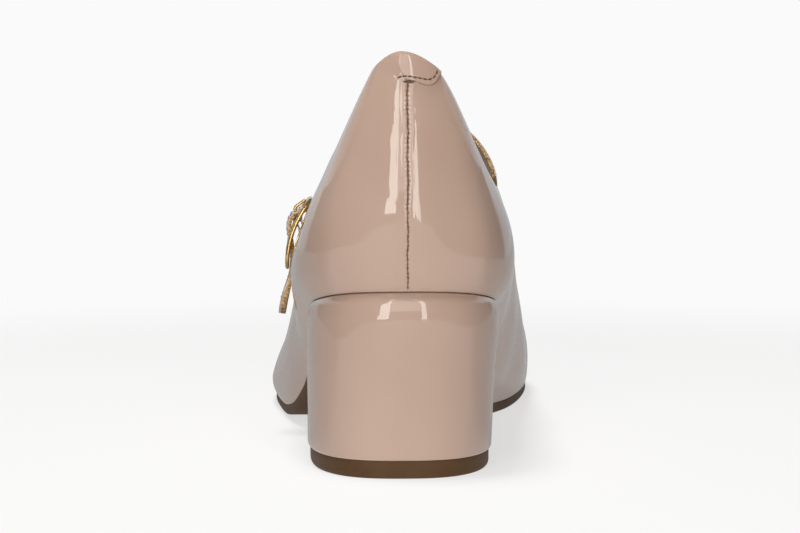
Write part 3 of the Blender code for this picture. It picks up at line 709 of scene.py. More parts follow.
# ---- the upper ----
ROLL = WALL / 2  # radius of the folded topline
OUTER_TO = 0.98  # the outer face runs up to here, and the roll starts just above
LINING_ROWS = 40
RIDGE_REACH = 14.0  # the counter comes to a soft ridge along the back seam, this far each side
RIDGE_LOW, RIDGE_HIGH = 0.85, 0.3  # how much, at the belly and at the topline
SEAM_STRIP = 3.1  # half width of the finely modelled strip down the seam
SEAM_TOP = 110.7  # height at which the tab covers it
STITCH_PITCH = 1.3
SEAM_THREADS_FROM = 56.3  # height of the lowest
STRIP_PROUD, PATCH_PROUD = 0.03, 0.02  # how far the strip and the patch stand over the face
PATCH_ROUND = (-0.042, 0.024)  # shares of the way round that the patch of the tab takes up
PATCH_DEPTH = 15.0  # how far down the patch reaches from the topline
TAB_INSIDE = 4.0  # how far the tab runs down the lining
BACK_TAB_THICKNESS = 0.6
# across, height, half width and half height of the bumps beside the tab, and how far they stand
TAB_BUMPS = ((2.2, 112.3, 0.6, 0.9, 0.16), (-1.7, 109.8, 0.5, 0.5, 0.13))
PAST_TOPLINE = 0.2  # by this far down the lining, a place is past the topline
COUNTER_HEIGHT = 62.0  # from feather to topline at the back, near enough
ABOVE_TAB = 118.0  # a height above the whole outline of the tab
FINE_SHARE = 0.0038  # this far round from the seam, the tab's columns are close together
TAB_EDGE = (
    # across, height: the free edge of the tab, from the seam to the topline
    (9.0, 110.9), (0.2, 110.8), (-2.1, 110.5), (-4.0, 109.8), (-6.1, 109.45), (-7.6, 109.9),
    (-8.7, 111.2), (-9.4, 112.7), (-9.75, 114.5),
)
TAB_STITCHES = (
    (2.8, 111.4), (1.9, 111.75), (0.0, 111.8), (-2.0, 111.55), (-4.4, 111.1), (-6.1, 110.95),
    (-7.4, 111.6), (-8.1, 112.7), (-8.4, 114.2),
)
TAB_STITCH, TAB_STITCH_PITCH = 1.28, 1.42
# dark threads laid in the pit under the tab's edge, as painted shade of the gap there
PIT_SHADE_THREADS = ((1.25, 0.0, 110.45), (0.3, -1.6, 110.4))  # across from and to, height


def signed_share(around):
    """Share of the way round, from -0.5 to 0.5, with the back seam at 0."""
    return (np.asarray(around, float) + 0.5) % 1.0 - 0.5


SHARE_PER_MM = 0.004 / float(sections_at(np.array([0.004]))[0, 2])


def ridge(around, up):
    """How far the face is drawn in beside the back seam, which leaves a soft ridge along it."""
    reach = RIDGE_REACH * SHARE_PER_MM
    share = np.clip(np.abs(signed_share(around)) / (2 * reach), 0, 1)
    depth = RIDGE_LOW + (RIDGE_HIGH - RIDGE_LOW) * soft_step(up, BELLY_SHARE, 1.0)
    return -depth * soft_step(up, 0.0, BELLY_SHARE) * np.sin(np.pi * share) ** 2


def tuck(x, z):
    """The seam draws the counter in a little just above the heel."""
    return -0.35 * soft_step(z, 80.0, 62.0) * hump(x, 7.0)


def puckers(x, z):
    """Slow waves of the leather on each side of the seam, where its stitches pull."""
    waves = np.sin(z / 1.55 + 0.6) + 0.8 * np.sin(z / 2.7 + 2.1) + 0.7 * np.sin(z / 0.93 + 4.0)
    return 0.022 * waves * hump(np.abs(x) - 2.6, 2.4) * np.where(x > 0, 1.0, 0.75)


def edge_distance(x, z, line):
    """Distance from a line of (across, height) points, and the side of it: 1 is above."""
    line = np.asarray(line, float)
    best, above = np.full(x.shape, np.inf), np.zeros(x.shape)
    for (ax, az), (bx, bz) in zip(line, line[1:]):
        run = np.array([bx - ax, bz - az])
        t = np.clip(((x - ax) * run[0] + (z - az) * run[1]) / (run @ run), 0, 1)
        away = np.hypot(x - ax - t * run[0], z - az - t * run[1])
        side = np.sign((x - ax) * run[1] - (z - az) * run[0])
        closer = away < best
        best = np.where(closer, away, best)
        above = np.where(closer, side, above)
    return best, above


def seam_relief(x, z):
    """The back seam, a groove with raised lips, drawn in at each stitch: its height, and how dark
    it is made along its middle and at each stitch. The leather slopes into it, more steeply on the
    medial side."""
    below = soft_step(SEAM_TOP - z, 0.0, 0.5)
    middle = x - 0.10 * np.sin(z / 2.3) - 0.06 * np.sin(z / 0.71 + 1.0)
    tick = np.clip(np.cos(2 * np.pi * z / STITCH_PITCH), 0, 1) ** 3
    steep = 0.145 + 0.06 * soft_step(-middle, -0.1, 0.1)
    inward = 0.85 - np.abs(middle)
    groove = -0.3 * hump(middle, 0.17) - steep * (inward + np.hypot(inward, 0.12)) / 2
    lips = 0.03 * hump(np.abs(middle) - 1.3, 0.42)
    pull = -0.11 * tick * hump(middle, 0.7, 4)
    ticks = 0.4 * tick * hump(middle, 0.4, 6)
    seam_mark_and_shade = np.clip(0.8 * hump(middle, 0.11) + ticks, 0, 1)
    return below * (groove + lips + pull), below * seam_mark_and_shade


def tab_share(x, z, inward=-1.0):
    """The tab's own thickness over the upper, as a share, and the painted shadow along its edge.
    Inward is the distance past the topline, down the lining."""
    away, side = edge_distance(x, z, smooth_curve(TAB_EDGE, 90))
    past = inward > PAST_TOPLINE
    depth = np.where((side > 0) | past, away, -away)
    t = np.clip(depth / (0.3 + 4.5 * soft_step(x, -0.4, 3.2)), 0, 1)
    sharp = np.sqrt(np.clip(1 - (1 - t) ** 2, 0, 1))
    blend = soft_step(x, -0.6, 1.2)
    share = (1 - blend) * sharp + blend * soft_step(t, 0, 1)
    share = share * (1 - soft_step(x, 1.5, 8.0)) * soft_step(TAB_INSIDE - inward, 0.0, 0.3)
    if past:
        return share * soft_step(x, -9.9, -9.4), 0.0
    # a painted shadow along the tab's free edge
    return share, hump(depth + 0.03, 0.12) * (1 - soft_step(x, -0.6, 0.6))


def patch_relief(x, z):
    """Everything that stands out round the tab: its thickness, stitch line, pit and bumps. The
    second part is painted shade: in the pit, and a painted shadow along the tab's edge."""
    share, shadow = tab_share(x, z)
    row, _ = edge_distance(x, z, smooth_curve(TAB_STITCHES, 60))
    height = BACK_TAB_THICKNESS * share - 0.16 * hump(row, 0.22)
    # the pit is a dent, and the same mask paints shade into it
    pit = np.exp(-(((x + 0.75) / 1.25) ** 4) - ((z - 110.55) / 0.34) ** 2)
    height = height - 0.75 * pit * np.where(share > 0.6, 0.0, 1.0)
    for across, level, wide, tall, proud in TAB_BUMPS:
        height = height + proud * np.exp(-(((x - across) / wide) ** 2)
                                         - ((z - level) / tall) ** 2)
    return height, np.clip(pit + 0.55 * shadow, 0, 1)


def outer_face(around, up):
    """The finished outer face without seam and tab: points and outward normals."""
    point, normal, rise = upper_frame(around, up)
    x, z = point[:, 0], point[:, 2]
    offset = ridge(around, up) + (puckers(x, z) + tuck(x, z)) * (
        np.abs(signed_share(around)) < 0.1)
    return point + offset[:, None] * normal, normal, rise


def ridged_face(around, up):
    """The face with its ridge at one height: points, outward normals and the way up."""
    up = np.full(len(around), up)
    point, normal, rise = upper_frame(around, up)
    return point + ridge(around, up)[:, None] * normal, normal, rise


def roll_frame(around):
    """Middle of the topline's roll with its outward and upward directions."""
    top, normal, rise = ridged_face(around, 1.0)
    return top - ROLL * normal - 0.7 * ROLL * rise, normal, rise


def turned_ways(count, normal, rise):
    """Ways out from the middle of the roll, from the outward one over the top to the inward."""
    return [(angle, math.cos(angle) * normal + math.sin(angle) * rise)
            for angle in np.linspace(0, np.pi, count)]


def patch_mask(around, depth):
    """1 where the patch of the tab covers the shell, with a margin; depth is from the topline."""
    share = signed_share(around)
    margin = 1.2 * SHARE_PER_MM * 2
    low, high = PATCH_ROUND
    inside = (share > low + margin) & (share < high - margin)
    return np.where(inside & (np.asarray(depth) < PATCH_DEPTH - 1.0), 1.0, 0.0)


def make_upper():
    """Outer face, rolled topline, lining and turned-in lower edge as one closed shell."""
    near = SHARE_PER_MM * np.arange(-8.0, 8.01, 0.4)
    around = np.concatenate([near, np.linspace(near[-1], 1 + near[0], 340)[1:-1]])
    count = len(around)
    rows = []
    top = upper_point(around, np.ones(count))
    for up in np.concatenate([np.linspace(0.0, 0.03, 4)[1:], np.linspace(0.03, OUTER_TO, 80)[1:]]):
        point, normal, _ = outer_face(around, np.full(count, up))
        depth = np.linalg.norm(top - point, axis=1)
        under = np.abs(point[:, 0]) < SEAM_STRIP - 0.5
        under = under & (np.abs(signed_share(around)) < 0.05)
        sink = 0.55 * np.maximum(under, patch_mask(around, depth))
        rows.append(point - sink[:, None] * normal)
    middle, normal, rise = roll_frame(around)
    sink = 0.4 * patch_mask(around, np.zeros(count))
    for _, turn in turned_ways(13, normal, rise)[1:-1]:
        rows.append(middle + (ROLL - sink)[:, None] * turn)
    inner = len(rows)
    for up in np.linspace(OUTER_TO, 0.0, LINING_ROWS):
        point, normal, _ = ridged_face(around, up)
        depth = np.linalg.norm(top - point, axis=1)
        sink = 0.3 * np.where(depth < TAB_INSIDE - 0.5, patch_mask(around, depth), 0.0)
        rows.append(point - (WALL - sink)[:, None] * normal)
    edge, normal, _ = upper_frame(around, np.zeros(count))
    inward = unit(-normal * (1.0, 1.0, 0.0))
    for draw, drop in ((1.6, 0.1), (0.7, 0.12), (0.3, 0.08), (0.1, 0.0), (0.02, -0.12)):
        rows.append(edge + draw * inward - (0.0, 0.0, drop))
    obj = turn_outward(skin("upper_shell", np.array(rows), wrap_rows=True, wrap_columns=True))
    add_seam_mark_and_shade(obj)
    index = np.zeros((len(rows), count), np.int32)
    index[inner : inner + LINING_ROWS] = 1
    obj.data.polygons.foreach_set("material_index", index.ravel())
    finish(obj, [patent, lining], ["upper", "back_tab"])


def make_back_seam():
    """The strip down the back seam, with its groove and the pull of every stitch."""
    x = np.linspace(-1, 1, 81)
    x = SEAM_STRIP * np.sign(x) * np.abs(x) ** 1.4
    ups = np.linspace(0.002, 0.93, 600)
    slope = upper_point(np.full(len(ups), 0.001), ups)[:, 0] / 0.001
    grid, ways, seam_mark_and_shade = [], [], []
    for up, per_share in zip(ups, slope):
        around, level = x / per_share, np.full(len(x), up)
        across, _, height = upper_point(around, level).T
        if height[len(x) // 2] > SEAM_TOP + 0.6:
            break
        point, normal, _ = outer_face(around, level)
        relief, marking_and_shade = seam_relief(across, height)
        relief = relief * soft_step(SEAM_STRIP - np.abs(x), 0.0, 0.5) + STRIP_PROUD
        patch, _ = patch_relief(across, height)
        grid.append(point + (relief + patch)[:, None] * normal)
        ways.append(normal)
        seam_mark_and_shade.append(marking_and_shade)
    obj = sheet("back_seam", grid, ways, 0.25)
    add_seam_mark_and_shade(obj, np.tile(np.ravel(seam_mark_and_shade), 2))
    finish(obj, [patent])


def make_back_tab():
    """The quarter's end that laps over the seam's top, and over the topline into the shoe."""
    low, high = PATCH_ROUND
    share = np.linspace(low, high, 195)
    fine = FINE_SHARE * np.linspace(-1, 1, 61)
    share = np.unique(np.concatenate([share[np.abs(share) > FINE_SHARE], fine]))
    count = len(share)
    ups = np.linspace(0.6, OUTER_TO, 160)
    columns = [outer_face(np.full(len(ups), a), ups) for a in share]
    bases = [upper_point(np.full(len(ups), a), ups) for a in share]
    depths = np.linspace(PATCH_DEPTH, 0, 150)
    grid, ways, seam_mark_and_shade = [], [], []
    points, normals, base = np.zeros((3, len(depths), count, 3))
    for j, (point, normal, _) in enumerate(columns):
        way = way_along(point)
        for target, rows in ((points, point), (normals, normal), (base, bases[j])):
            for k in range(3):
                target[:, j, k] = np.interp(way[-1] - depths, way, rows[:, k])
    for point, normal, (x, _, z) in zip(points, unit(normals), np.moveaxis(base, 2, 1)):
        relief, marking_and_shade = patch_relief(x, z)
        seam, line = seam_relief(x, z)
        seam = seam * np.where(np.abs(x) < SEAM_STRIP, 1.0, 0.0)
        total = relief + seam + PATCH_PROUD
        grid.append(point + total[:, None] * normal)
        ways.append(normal)
        # painted shade of the pit and the tab's edge, with the seam's dark line
        seam_mark_and_shade.append(np.clip(marking_and_shade + line, 0, 1))
    middle, normal, rise = roll_frame(share)
    across, _, height = (middle + ROLL * normal).T
    first, _ = tab_share(across, height)
    last, _ = tab_share(across, ABOVE_TAB, 0.5)
    for angle, turn in turned_ways(27, normal, rise):
        ease = soft_step(angle, 0.0, 0.6)
        part = (1 - ease) * first + ease * last
        grid.append(middle + (ROLL + PATCH_PROUD + BACK_TAB_THICKNESS * part)[:, None] * turn)
        ways.append(turn)
        seam_mark_and_shade.append(np.zeros(count))
    for inward in np.linspace(PAST_TOPLINE, TAB_INSIDE + 0.6, 24):
        point, normal, _ = ridged_face(share, 1.0 - inward / COUNTER_HEIGHT - 0.02)
        part, _ = tab_share(across, ABOVE_TAB, inward + 0.5)
        out = WALL + PATCH_PROUD + 0.5 * BACK_TAB_THICKNESS * part
        out = out - 0.3 * soft_step(inward, TAB_INSIDE, TAB_INSIDE + 0.5)
        grid.append(point - out[:, None] * normal)
        ways.append(-normal)
        seam_mark_and_shade.append(np.zeros(count))
    obj = sheet("back_tab_leather", grid, ways, 0.2)
    add_seam_mark_and_shade(obj, np.tile(np.ravel(seam_mark_and_shade), 2))
    finish(obj, [patent])


def surface_at(x, z):
    """Places and normals on the outer face of the counter, by distance across and height."""
    goal = np.column_stack([x, z])
    share, up = goal[:, 0] * SHARE_PER_MM, np.full(len(goal), 0.6)
    for _ in range(16):
        here = upper_point(share, up)[:, ::2]
        a, b = ((upper_point(share + da, up + db)[:, ::2] - here) / SMALL
                for da, db in ((SMALL, 0.0), (0.0, -SMALL)))
        b = -b
        off = goal - here
        area = a[:, 0] * b[:, 1] - a[:, 1] * b[:, 0]
        share += np.clip((off[:, 0] * b[:, 1] - off[:, 1] * b[:, 0]) / area, -0.006, 0.006)
        up += np.clip((a[:, 0] * off[:, 1] - a[:, 1] * off[:, 0]) / area, -0.1, 0.1)
        up = np.clip(up, 0.02, 1.0)
    point, normal, _ = outer_face(share, up)
    return point, normal


def make_seam_threads():
    """The brown stitches that cross the back seam."""
    random = np.random.default_rng(7)
    bend = np.array((0.12, 0.45, 0.8, 1.0))
    proud = np.array((-0.28, -0.05, 0.0, -0.12)) + STRIP_PROUD
    rows = []
    level = SEAM_THREADS_FROM
    while level < SEAM_TOP - 0.3:
        lean = random.uniform(0.05, 0.42)
        for side in (-1, 1):
            if random.random() < 0.3:
                continue
            reach = random.uniform(0.18, 0.42)
            drop = random.uniform(-0.1, 0.15)
            place, normal = surface_at(side * reach * bend, level + drop + side * lean * bend)
            rows.append(place + proud[:, None] * normal)
        level += STITCH_PITCH * random.uniform(0.96, 1.04)
    finish(stitches("seam_thread", rows, (0.07, 0.08, 0.08, 0.05), 7), [sewing])


def make_tab_threads():
    """The row of stitches that holds the tab and runs up to the topline, and dark threads laid in
    the pit under the tab's edge as painted shade of the gap.
    """
    random = np.random.default_rng(11)
    line = smooth_curve(TAB_STITCHES, 200)
    way = way_along(line)
    bend = np.array((0.0, 0.2, 0.5, 0.8, 1.0))
    proud = np.array((-0.22, 0.0, 0.05, 0.0, -0.22)) + 0.08
    rows = []
    at = 0.1
    while at < way[-1] - 0.9:
        x, z = (np.interp(at + TAB_STITCH * bend, way, line[:, k]) for k in (0, 1))
        place, normal = surface_at(x, z)
        lift, _ = patch_relief(x, z)
        rows.append(place + (lift + proud)[:, None] * normal)
        at += TAB_STITCH_PITCH * random.uniform(0.97, 1.03)
    # dark threads in the pit, as painted shade of the gap under the tab's edge
    for start, end, level in PIT_SHADE_THREADS:
        place, normal = surface_at(start + (end - start) * bend, level - 0.15 * bend)
        rows.append(place + proud[:, None] * normal)
    finish(stitches("tab_thread", rows, (0.11, 0.17, 0.18, 0.17, 0.11), 8),
           [sewing])


# ---- sole, insole and heel ----
def edge_pairs(start, end, count, inset=0.0):
    """Lateral and medial points of the edge at matching stations, close together at a round
    end. A start or end of None is the tip of the heel or of the toe."""
    line = feather_edge(inset, 2881)
    toe = int(np.argmax(line[:, 1]))
    sides = line[: toe + 1], line[toe:][::-1]
    low = min(line[:, 1]) if start is None else start
    high = max(line[:, 1]) if end is None else end
    way = np.linspace(0, 1, count)
    if start is None and end is None:
        way = (1 - np.cos(np.pi * way)) / 2
    elif end is None:
        way = np.sin(np.pi * way / 2)
    elif start is None:
        way = 1 - np.cos(np.pi * way / 2)
    stations = low + (high - low) * way
    lateral, medial = (np.interp(stations, side[:, 1], side[:, 0]) for side in sides)
    return stations, lateral, medial


def plate_skin(name, edges, tops, bottoms, side, shape=None):
    """A plate between two edges, whose top face may have a shape. Side is its edge in section,
    from the top face to the bottom one, as (drawn in, share of the thickness down) pairs."""
    share = np.linspace(-1, 1, 25)
    grid = []
    for s, lateral, medial in zip(*edges):
        middle, half = (lateral + medial) / 2, (lateral - medial) / 2
        top, bottom = tops(s), bottoms(s)
        over, under = (half - min(side[i][0], half) for i in (0, -1))
        rows = [(middle + over * t, s, top + (shape(s, t) if shape else 0.0)) for t in share]
        rows += [(lateral - min(inset, half), s, top + down * (bottom - top))
                 for inset, down in side[1:-1]]
        rows += [(middle + under * t, s, bottom) for t in share[::-1]]
        rows += [(medial + min(inset, half), s, top + down * (bottom - top))
                 for inset, down in side[-2:0:-1]]
        grid.append(rows)
    obj = skin(name, np.array(grid), wrap_columns=True, caps=True)
    with opened(obj) as work:
        bmesh.ops.remove_doubles(work, verts=work.verts, dist=2e-6)
    obj.data.set_sharp_from_angle(angle=math.radians(38))
    return turn_outward(obj)


SOLE_TOP_GAP = 0.13  # from the feather edge down to the sole


def make_outsole():
    side = ((0.35, 0.0), (0.12, 0.03), (0.02, 0.1), (0.0, 0.22), (0.0, 0.52), (0.06, 0.64),
            (0.2, 0.76), (0.42, 0.88), (0.75, 0.965), (1.3, 1.0))
    obj = plate_skin(
        "outsole_rubber", edge_pairs(HEEL_BREAST + 0.15, None, 150),
        lambda s: bottom_height(s) - SOLE_TOP_GAP,
        lambda s: bottom_height(s) - SEAM - SOLE_THICKNESS, side)
    finish(obj, [rubber], ["outsole"])


def sock_shape(s, t):
    """The insole is dished across, with a soft pad under the heel."""
    dish = -0.55 * (1 - t * t) * soft_step(s, 2.0, 30.0) * (1 - soft_step(s, 215.0, 240.0))
    pad = 0.5 * soft_step(1 - abs(t), 0.12, 0.34) * soft_step(s, 8.0, 13.0)
    return dish + pad * (1 - soft_step(s, 60.0, 66.0))


def make_insole():
    side = ((0.45, 0.0), (0.2, 0.03), (0.06, 0.12), (0.0, 0.28), (0.0, 0.8), (0.12, 0.95),
            (0.4, 1.0))
    obj = plate_skin(
        "insole_sock", edge_pairs(None, None, 190, INSOLE_INSET),
        lambda s: bottom_height(s) + INSOLE_THICKNESS, bottom_height, side, sock_shape)
    finish(obj, [sock], ["insole"])


INSOLE_ROW_INSET = 3.0  # of the row of stitches, from the insole's edge
INSOLE_STITCH, INSOLE_STITCH_PITCH = 1.75, 2.35
STITCH_RADII = (0.1, 0.15, 0.15, 0.1)


def make_insole_threads():
    """A row of stitches round the insole."""
    line = feather_edge(INSOLE_INSET + INSOLE_ROW_INSET, 2001)[:-1]
    way = way_along(line)
    stations, lateral, medial = edge_pairs(None, None, 400, INSOLE_INSET)
    made = []
    at = 0.0
    while at < way[-1] - 2.4:
        knots = []
        for t, proud in ((0.0, -0.15), (0.25, 0.04), (0.75, 0.04), (1.0, -0.15)):
            x, s = (float(np.interp(at + INSOLE_STITCH * t, way, line[:, k])) for k in (0, 1))
            lat, med = np.interp(s, stations, lateral), np.interp(s, stations, medial)
            half = max((lat - med) / 2 - 0.45, 0.5)
            rise = sock_shape(s, float(np.clip((x - (lat + med) / 2) / half, -1, 1)))
            z = bottom_height(s) + INSOLE_THICKNESS + rise
            knots.append((x, s, z + proud))
        made.append(knots)
        at += INSOLE_STITCH_PITCH
    finish(stitches("insole_thread", made, STITCH_RADII), [pale_sewing])


HEEL_CORNER = 1.6  # radius of the block's two upright edges at the breast
COVER_TOP, COVER_FOOT = 0.28, 5.04  # the cover's clearance under the upper, and its lower edge
COVER_SWELL, COVER_ROLL = 0.78, 0.45  # how far it stands out, and the roll of its lower edge


def heel_foot(share, inset=0.0):
    """Half width and station of the heel's foot in plan, from its back (0) to its breast."""
    half = (1 - (1 - share) ** HEEL_ROUNDNESS) ** (1 / HEEL_ROUNDNESS)
    return half * (HEEL_FOOT_HALF_WIDTH - inset), inset + share * (HEEL_BREAST - inset)


def heel_outline(turned, upright, count=110):
    """Plan of the block at a level, one side after the other, as (x, s, seat station) rows.
    Widths have turned from the seat's to the foot's by one share, and stations by another."""
    seat_s, seat_lateral, seat_medial = edge_pairs(None, HEEL_BREAST, count)
    way = (seat_s - seat_s[0]) / (seat_s[-1] - seat_s[0])
    half, foot_s = heel_foot(way)
    s = seat_s + upright * (foot_s - seat_s)
    lateral = seat_lateral + turned * (HEEL_FOOT_LEAN + half - seat_lateral)
    medial = seat_medial + turned * (HEEL_FOOT_LEAN - half - seat_medial)
    corner_s = HEEL_BREAST - HEEL_CORNER
    straight = s < corner_s
    corner_seat = np.interp(corner_s, s, seat_s)
    rows = []
    for x, sign in ((lateral, 1), (medial, -1)):
        side = list(zip(x[straight], s[straight], seat_s[straight]))
        corner_x = np.interp(corner_s, s, x)
        for angle in np.linspace(0, math.pi / 2, 9):
            along = HEEL_CORNER * math.sin(angle)
            side.append((corner_x - sign * HEEL_CORNER * (1 - math.cos(angle)),
                         corner_s + along, corner_seat + along))
        rows.append(side)
    return np.array(rows[0][::-1] + rows[1][1:])


def make_heel_block():
    """The covered block: shoulder under the heel seat, gentle swell, and rolled lower edge."""
    down_mm = np.concatenate([[0, 0.06, 0.16, 0.3, 0.5, 0.75, 1.05, 1.4, 1.8, 2.3, 2.9, 3.7, 4.8],
                              np.linspace(6.5, 45.6, 26), [46.1, 46.45, 46.7, 46.85, 46.93]])
    total = down_mm[-1]
    grid = []
    levels, widths, stations = zip(*HEEL_LEVELS)
    for t in down_mm:
        down = t / total
        plan = heel_outline(*(steady_curve(levels, turns, down) for turns in (widths, stations)))
        run = np.roll(plan[:, :2], -1, axis=0) - np.roll(plan[:, :2], 1, axis=0)
        run[0], run[-1] = (0.0, 0.0), (0.0, 0.0)
        out = np.column_stack([-run[:, 1], run[:, 0]])
        out /= np.maximum(np.linalg.norm(out, axis=1, keepdims=True), 1e-9)
        out[0] = out[-1] = (0.0, 1.0)
        fade = steady_curve((0, 0.16, 0.5, 1), (1, 0.95, 0.5, 0), down)
        swell = COVER_SWELL * (1 - math.exp(-t / 1.7)) * fade
        near_foot = max(0.0, 1 - (total - t) / COVER_ROLL)
        roll = COVER_ROLL * (1 - math.sqrt(max(0.0, 1 - near_foot ** 2)))
        roll += 0.4 * max(0.0, 1 - t / 0.3) ** 2
        place = plan[:, :2] + (swell - roll) * out
        behind = plan[:, 1] > HEEL_BREAST - 0.01
        place[behind, 1] = plan[behind, 1] - roll
        top = bottom_height(plan[:, 2]) - COVER_TOP
        grid.append(np.column_stack([place, top + down * (COVER_FOOT - top)]))
    grid = np.array(grid)
    columns = grid.shape[1]
    breast = np.linspace(0, 1, 22)[1:-1]
    face = grid[:, -1:, :] + breast[None, :, None] * (grid[:, :1, :] - grid[:, -1:, :])
    full = np.concatenate([grid, face], axis=1)
    obj = skin("heel_cover", full, wrap_columns=True)
    with opened(obj) as work:
        work.verts.ensure_lookup_table()
        for at in (0, (len(full) - 1) * full.shape[1]):
            for i in range(columns // 2):
                j = columns - 1 - i
                ring = dict.fromkeys([at + i, at + i + 1, at + j - 1, at + j])
                if len(ring) > 2:
                    work.faces.new([work.verts[k] for k in ring])
            line = [at + columns - 1 + k for k in range(len(breast) + 1)] + [at]
            work.faces.new([work.verts[k] for k in line])
        bmesh.ops.remove_doubles(work, verts=work.verts, dist=1e-6)
    obj.data.set_sharp_from_angle(angle=math.radians(50))
    turn_outward(obj)
    add_seam_mark_and_shade(obj)
    finish(obj, [patent], ["heel_block"])


def make_top_piece():
    """The wearing piece under the heel, with a slightly proud lower band and a rounded edge."""
    side = ((0.3, 0.0), (0.06, 0.02), (0.0, 0.06), (0.0, 0.3), (0.0, 0.6), (0.03, 0.7),
            (0.0, 0.735), (0.02, 0.85), (0.14, 0.93), (0.36, 0.98), (0.7, 1.0))
    share = 1 - np.cos(np.pi / 2 * np.linspace(0, 1, 90))
    half, s = heel_foot(share, TOP_PIECE_INSET)
    obj = plate_skin("top_piece", (s, HEEL_FOOT_LEAN + half, HEEL_FOOT_LEAN - half),
                     lambda _: TOP_PIECE_THICKNESS, lambda _: 0.0, side)
    finish(obj, [rubber], ["heel_top_piece"])


# ---- strap and buckle ----
STRAP_STEPS = 300
TIP = 3.0  # length of the strap's clipped end
FOLDED_TO = 0.2  # the patent skin folds over the edges down to this share of half the thickness
STRAP_ROW_INSET = 1.25  # of the stitches, from the strap's edges
STRAP_STITCH, STRAP_STITCH_PITCH = 1.0, 1.42
STRAP_CROWN = 0.07
STRAP_STITCH_SUNK = 0.052  # a stitch's middle lies this far under the strap's flat face
ROUGHNESS = 0.035  # of the cut edges, each way
HOLE_RADIUS = 0.8
HOLE_PLACES = (-5.35, 8.0)  # along the strap, from the buckle's middle


def buckle_point(along, across, out):
    """A place on the bowed sheet that the buckle frame lies in. The sheet bends round the side
    of the foot and leans with it."""
    turn = along / BUCKLE_BEND
    radius = BUCKLE_BEND + out
    drop = radius * math.sin(turn)
    proud = radius * math.cos(turn) - BUCKLE_BEND
    x, s, z = BUCKLE_MIDDLE
    return (x + proud * math.cos(BUCKLE_LEAN) + drop * math.sin(BUCKLE_LEAN),
            s + across,
            z + proud * math.sin(BUCKLE_LEAN) - drop * math.cos(BUCKLE_LEAN))


def strap_frame():
    """Points along the strap's middle, with the ways across and out at each."""
    ear = section_knots()[EAR_SECTION] + np.array((0.01, 0.0, -0.01))
    top, normal, _ = upper_frame(ear, np.ones(3))
    behind, rim, ahead = top
    start = rim - STRAP_THICKNESS / 2 * normal[1] + (0.0, 0.0, 1.2)
    through = [buckle_point(along, 0.0, out)
               for along, out in smooth_curve(STRAP_THROUGH_BUCKLE, 14)]
    route = smooth_curve([start] + list(STRAP_ROUTE) + through, STRAP_STEPS)
    level = route[:, 2:3]
    height = np.clip((level - INSTEP_HEIGHTS[0]) / np.ptp(INSTEP_HEIGHTS), 0, 1)
    slope = np.array((0.0, math.cos(INSTEP_SLOPE), -math.sin(INSTEP_SLOPE)))
    twist = TAIL_TWIST * np.clip((TAIL_HEIGHTS[1] - level) / np.ptp(TAIL_HEIGHTS), 0, 1)
    hanging = np.hstack([np.sin(twist), np.cos(twist), 0 * twist])
    lateral = (1 - height) * hanging + height * slope
    medial = (1 - height) * (ahead - behind) / np.linalg.norm(ahead - behind) + height * slope
    across = np.where(route[:, :1] > 0, lateral, medial)
    run = unit(np.gradient(route, axis=0))
    wide = unit(across - (across * run).sum(axis=1, keepdims=True) * run)
    return route, wide, np.cross(run, wide)


def strap_width_at(way):
    """Half width of the strap by distance from its clipped end."""
    left = way[-1] - way
    t = np.clip(1 - left / TIP, 0, 1)
    return STRAP_WIDTH / 2 * (1 - 0.5 * t ** 2.2)


def make_strap():
    """Strap with a crowned patent face, raw edges that show its layers, and a lining face."""
    route, wide, out = strap_frame()
    way = way_along(route)
    half = strap_width_at(way)
    deep = np.interp(route[:, 2], TAIL_HEIGHTS, (TAIL_THICKNESS, STRAP_THICKNESS)) / 2
    top = np.concatenate([np.linspace(-1, -0.955, 4), np.linspace(-0.93, 0.93, 41),
                          np.linspace(0.955, 1, 4)])
    outline = []
    for a in top:
        from_edge = (1 - abs(a)) * STRAP_WIDTH / 2
        roll = 0.22 * (1 - soft_step(from_edge, 0.0, 0.3))
        channel = 0.09 * math.exp(-((from_edge - STRAP_ROW_INSET) / 0.28) ** 2)
        crown = STRAP_CROWN * (1 - abs(a) ** 2)
        outline.append((a, 1.0, crown - roll - channel - STRAP_CROWN, 0))
    side = [(b, 0 if b > FOLDED_TO else 1, 0.06 * (1 - (b / 0.9) ** 2))
            for b in (0.72, 0.58, 0.44, 0.3, 0.1, -0.15, -0.4, -0.65, -0.85)]
    outline += [(1, b, 0.0, kind, bulge) for b, kind, bulge in side]
    outline += [(a * 0.985, -1.0, 0.0, 2) for a in np.linspace(1, -1, 13)[1:-1]]
    outline += [(-1, b, 0.0, kind, bulge) for b, kind, bulge in side[::-1]]
    grid = []
    rough = np.random.default_rng(3)
    for i in range(len(route)):
        ring = []
        for a, share, rise, kind, *bulge in outline:
            side = a * half[i]
            if bulge:
                side += math.copysign(bulge[0] + kind * rough.uniform(-ROUGHNESS, ROUGHNESS), a)
            ring.append(route[i] + side * wide[i] + (share * deep[i] + rise) * out[i])
        grid.append(ring)
    obj = skin("strap_leather", np.array(grid), wrap_columns=True, caps=True)
    kinds = [row[3] for row in outline]
    index = [1 if 1 in pair else pair[0] for pair in zip(kinds, kinds[1:] + kinds[:1])]
    obj.data.polygons.foreach_set("material_index", index * (len(grid) - 1) + [1, 1])
    add_seam_mark_and_shade(obj)
    turn_outward(obj)
    obj.data.set_sharp_from_angle(angle=math.radians(42))
    for number, along in enumerate(HOLE_PLACES):
        punch_hole(obj, route, wide, out, np.array(buckle_point(along, 0.0, 0.0)), number)
    finish(obj, [patent, cut_edge, lining], ["strap"])
    make_strap_threads(route, wide, out, way, half, deep)


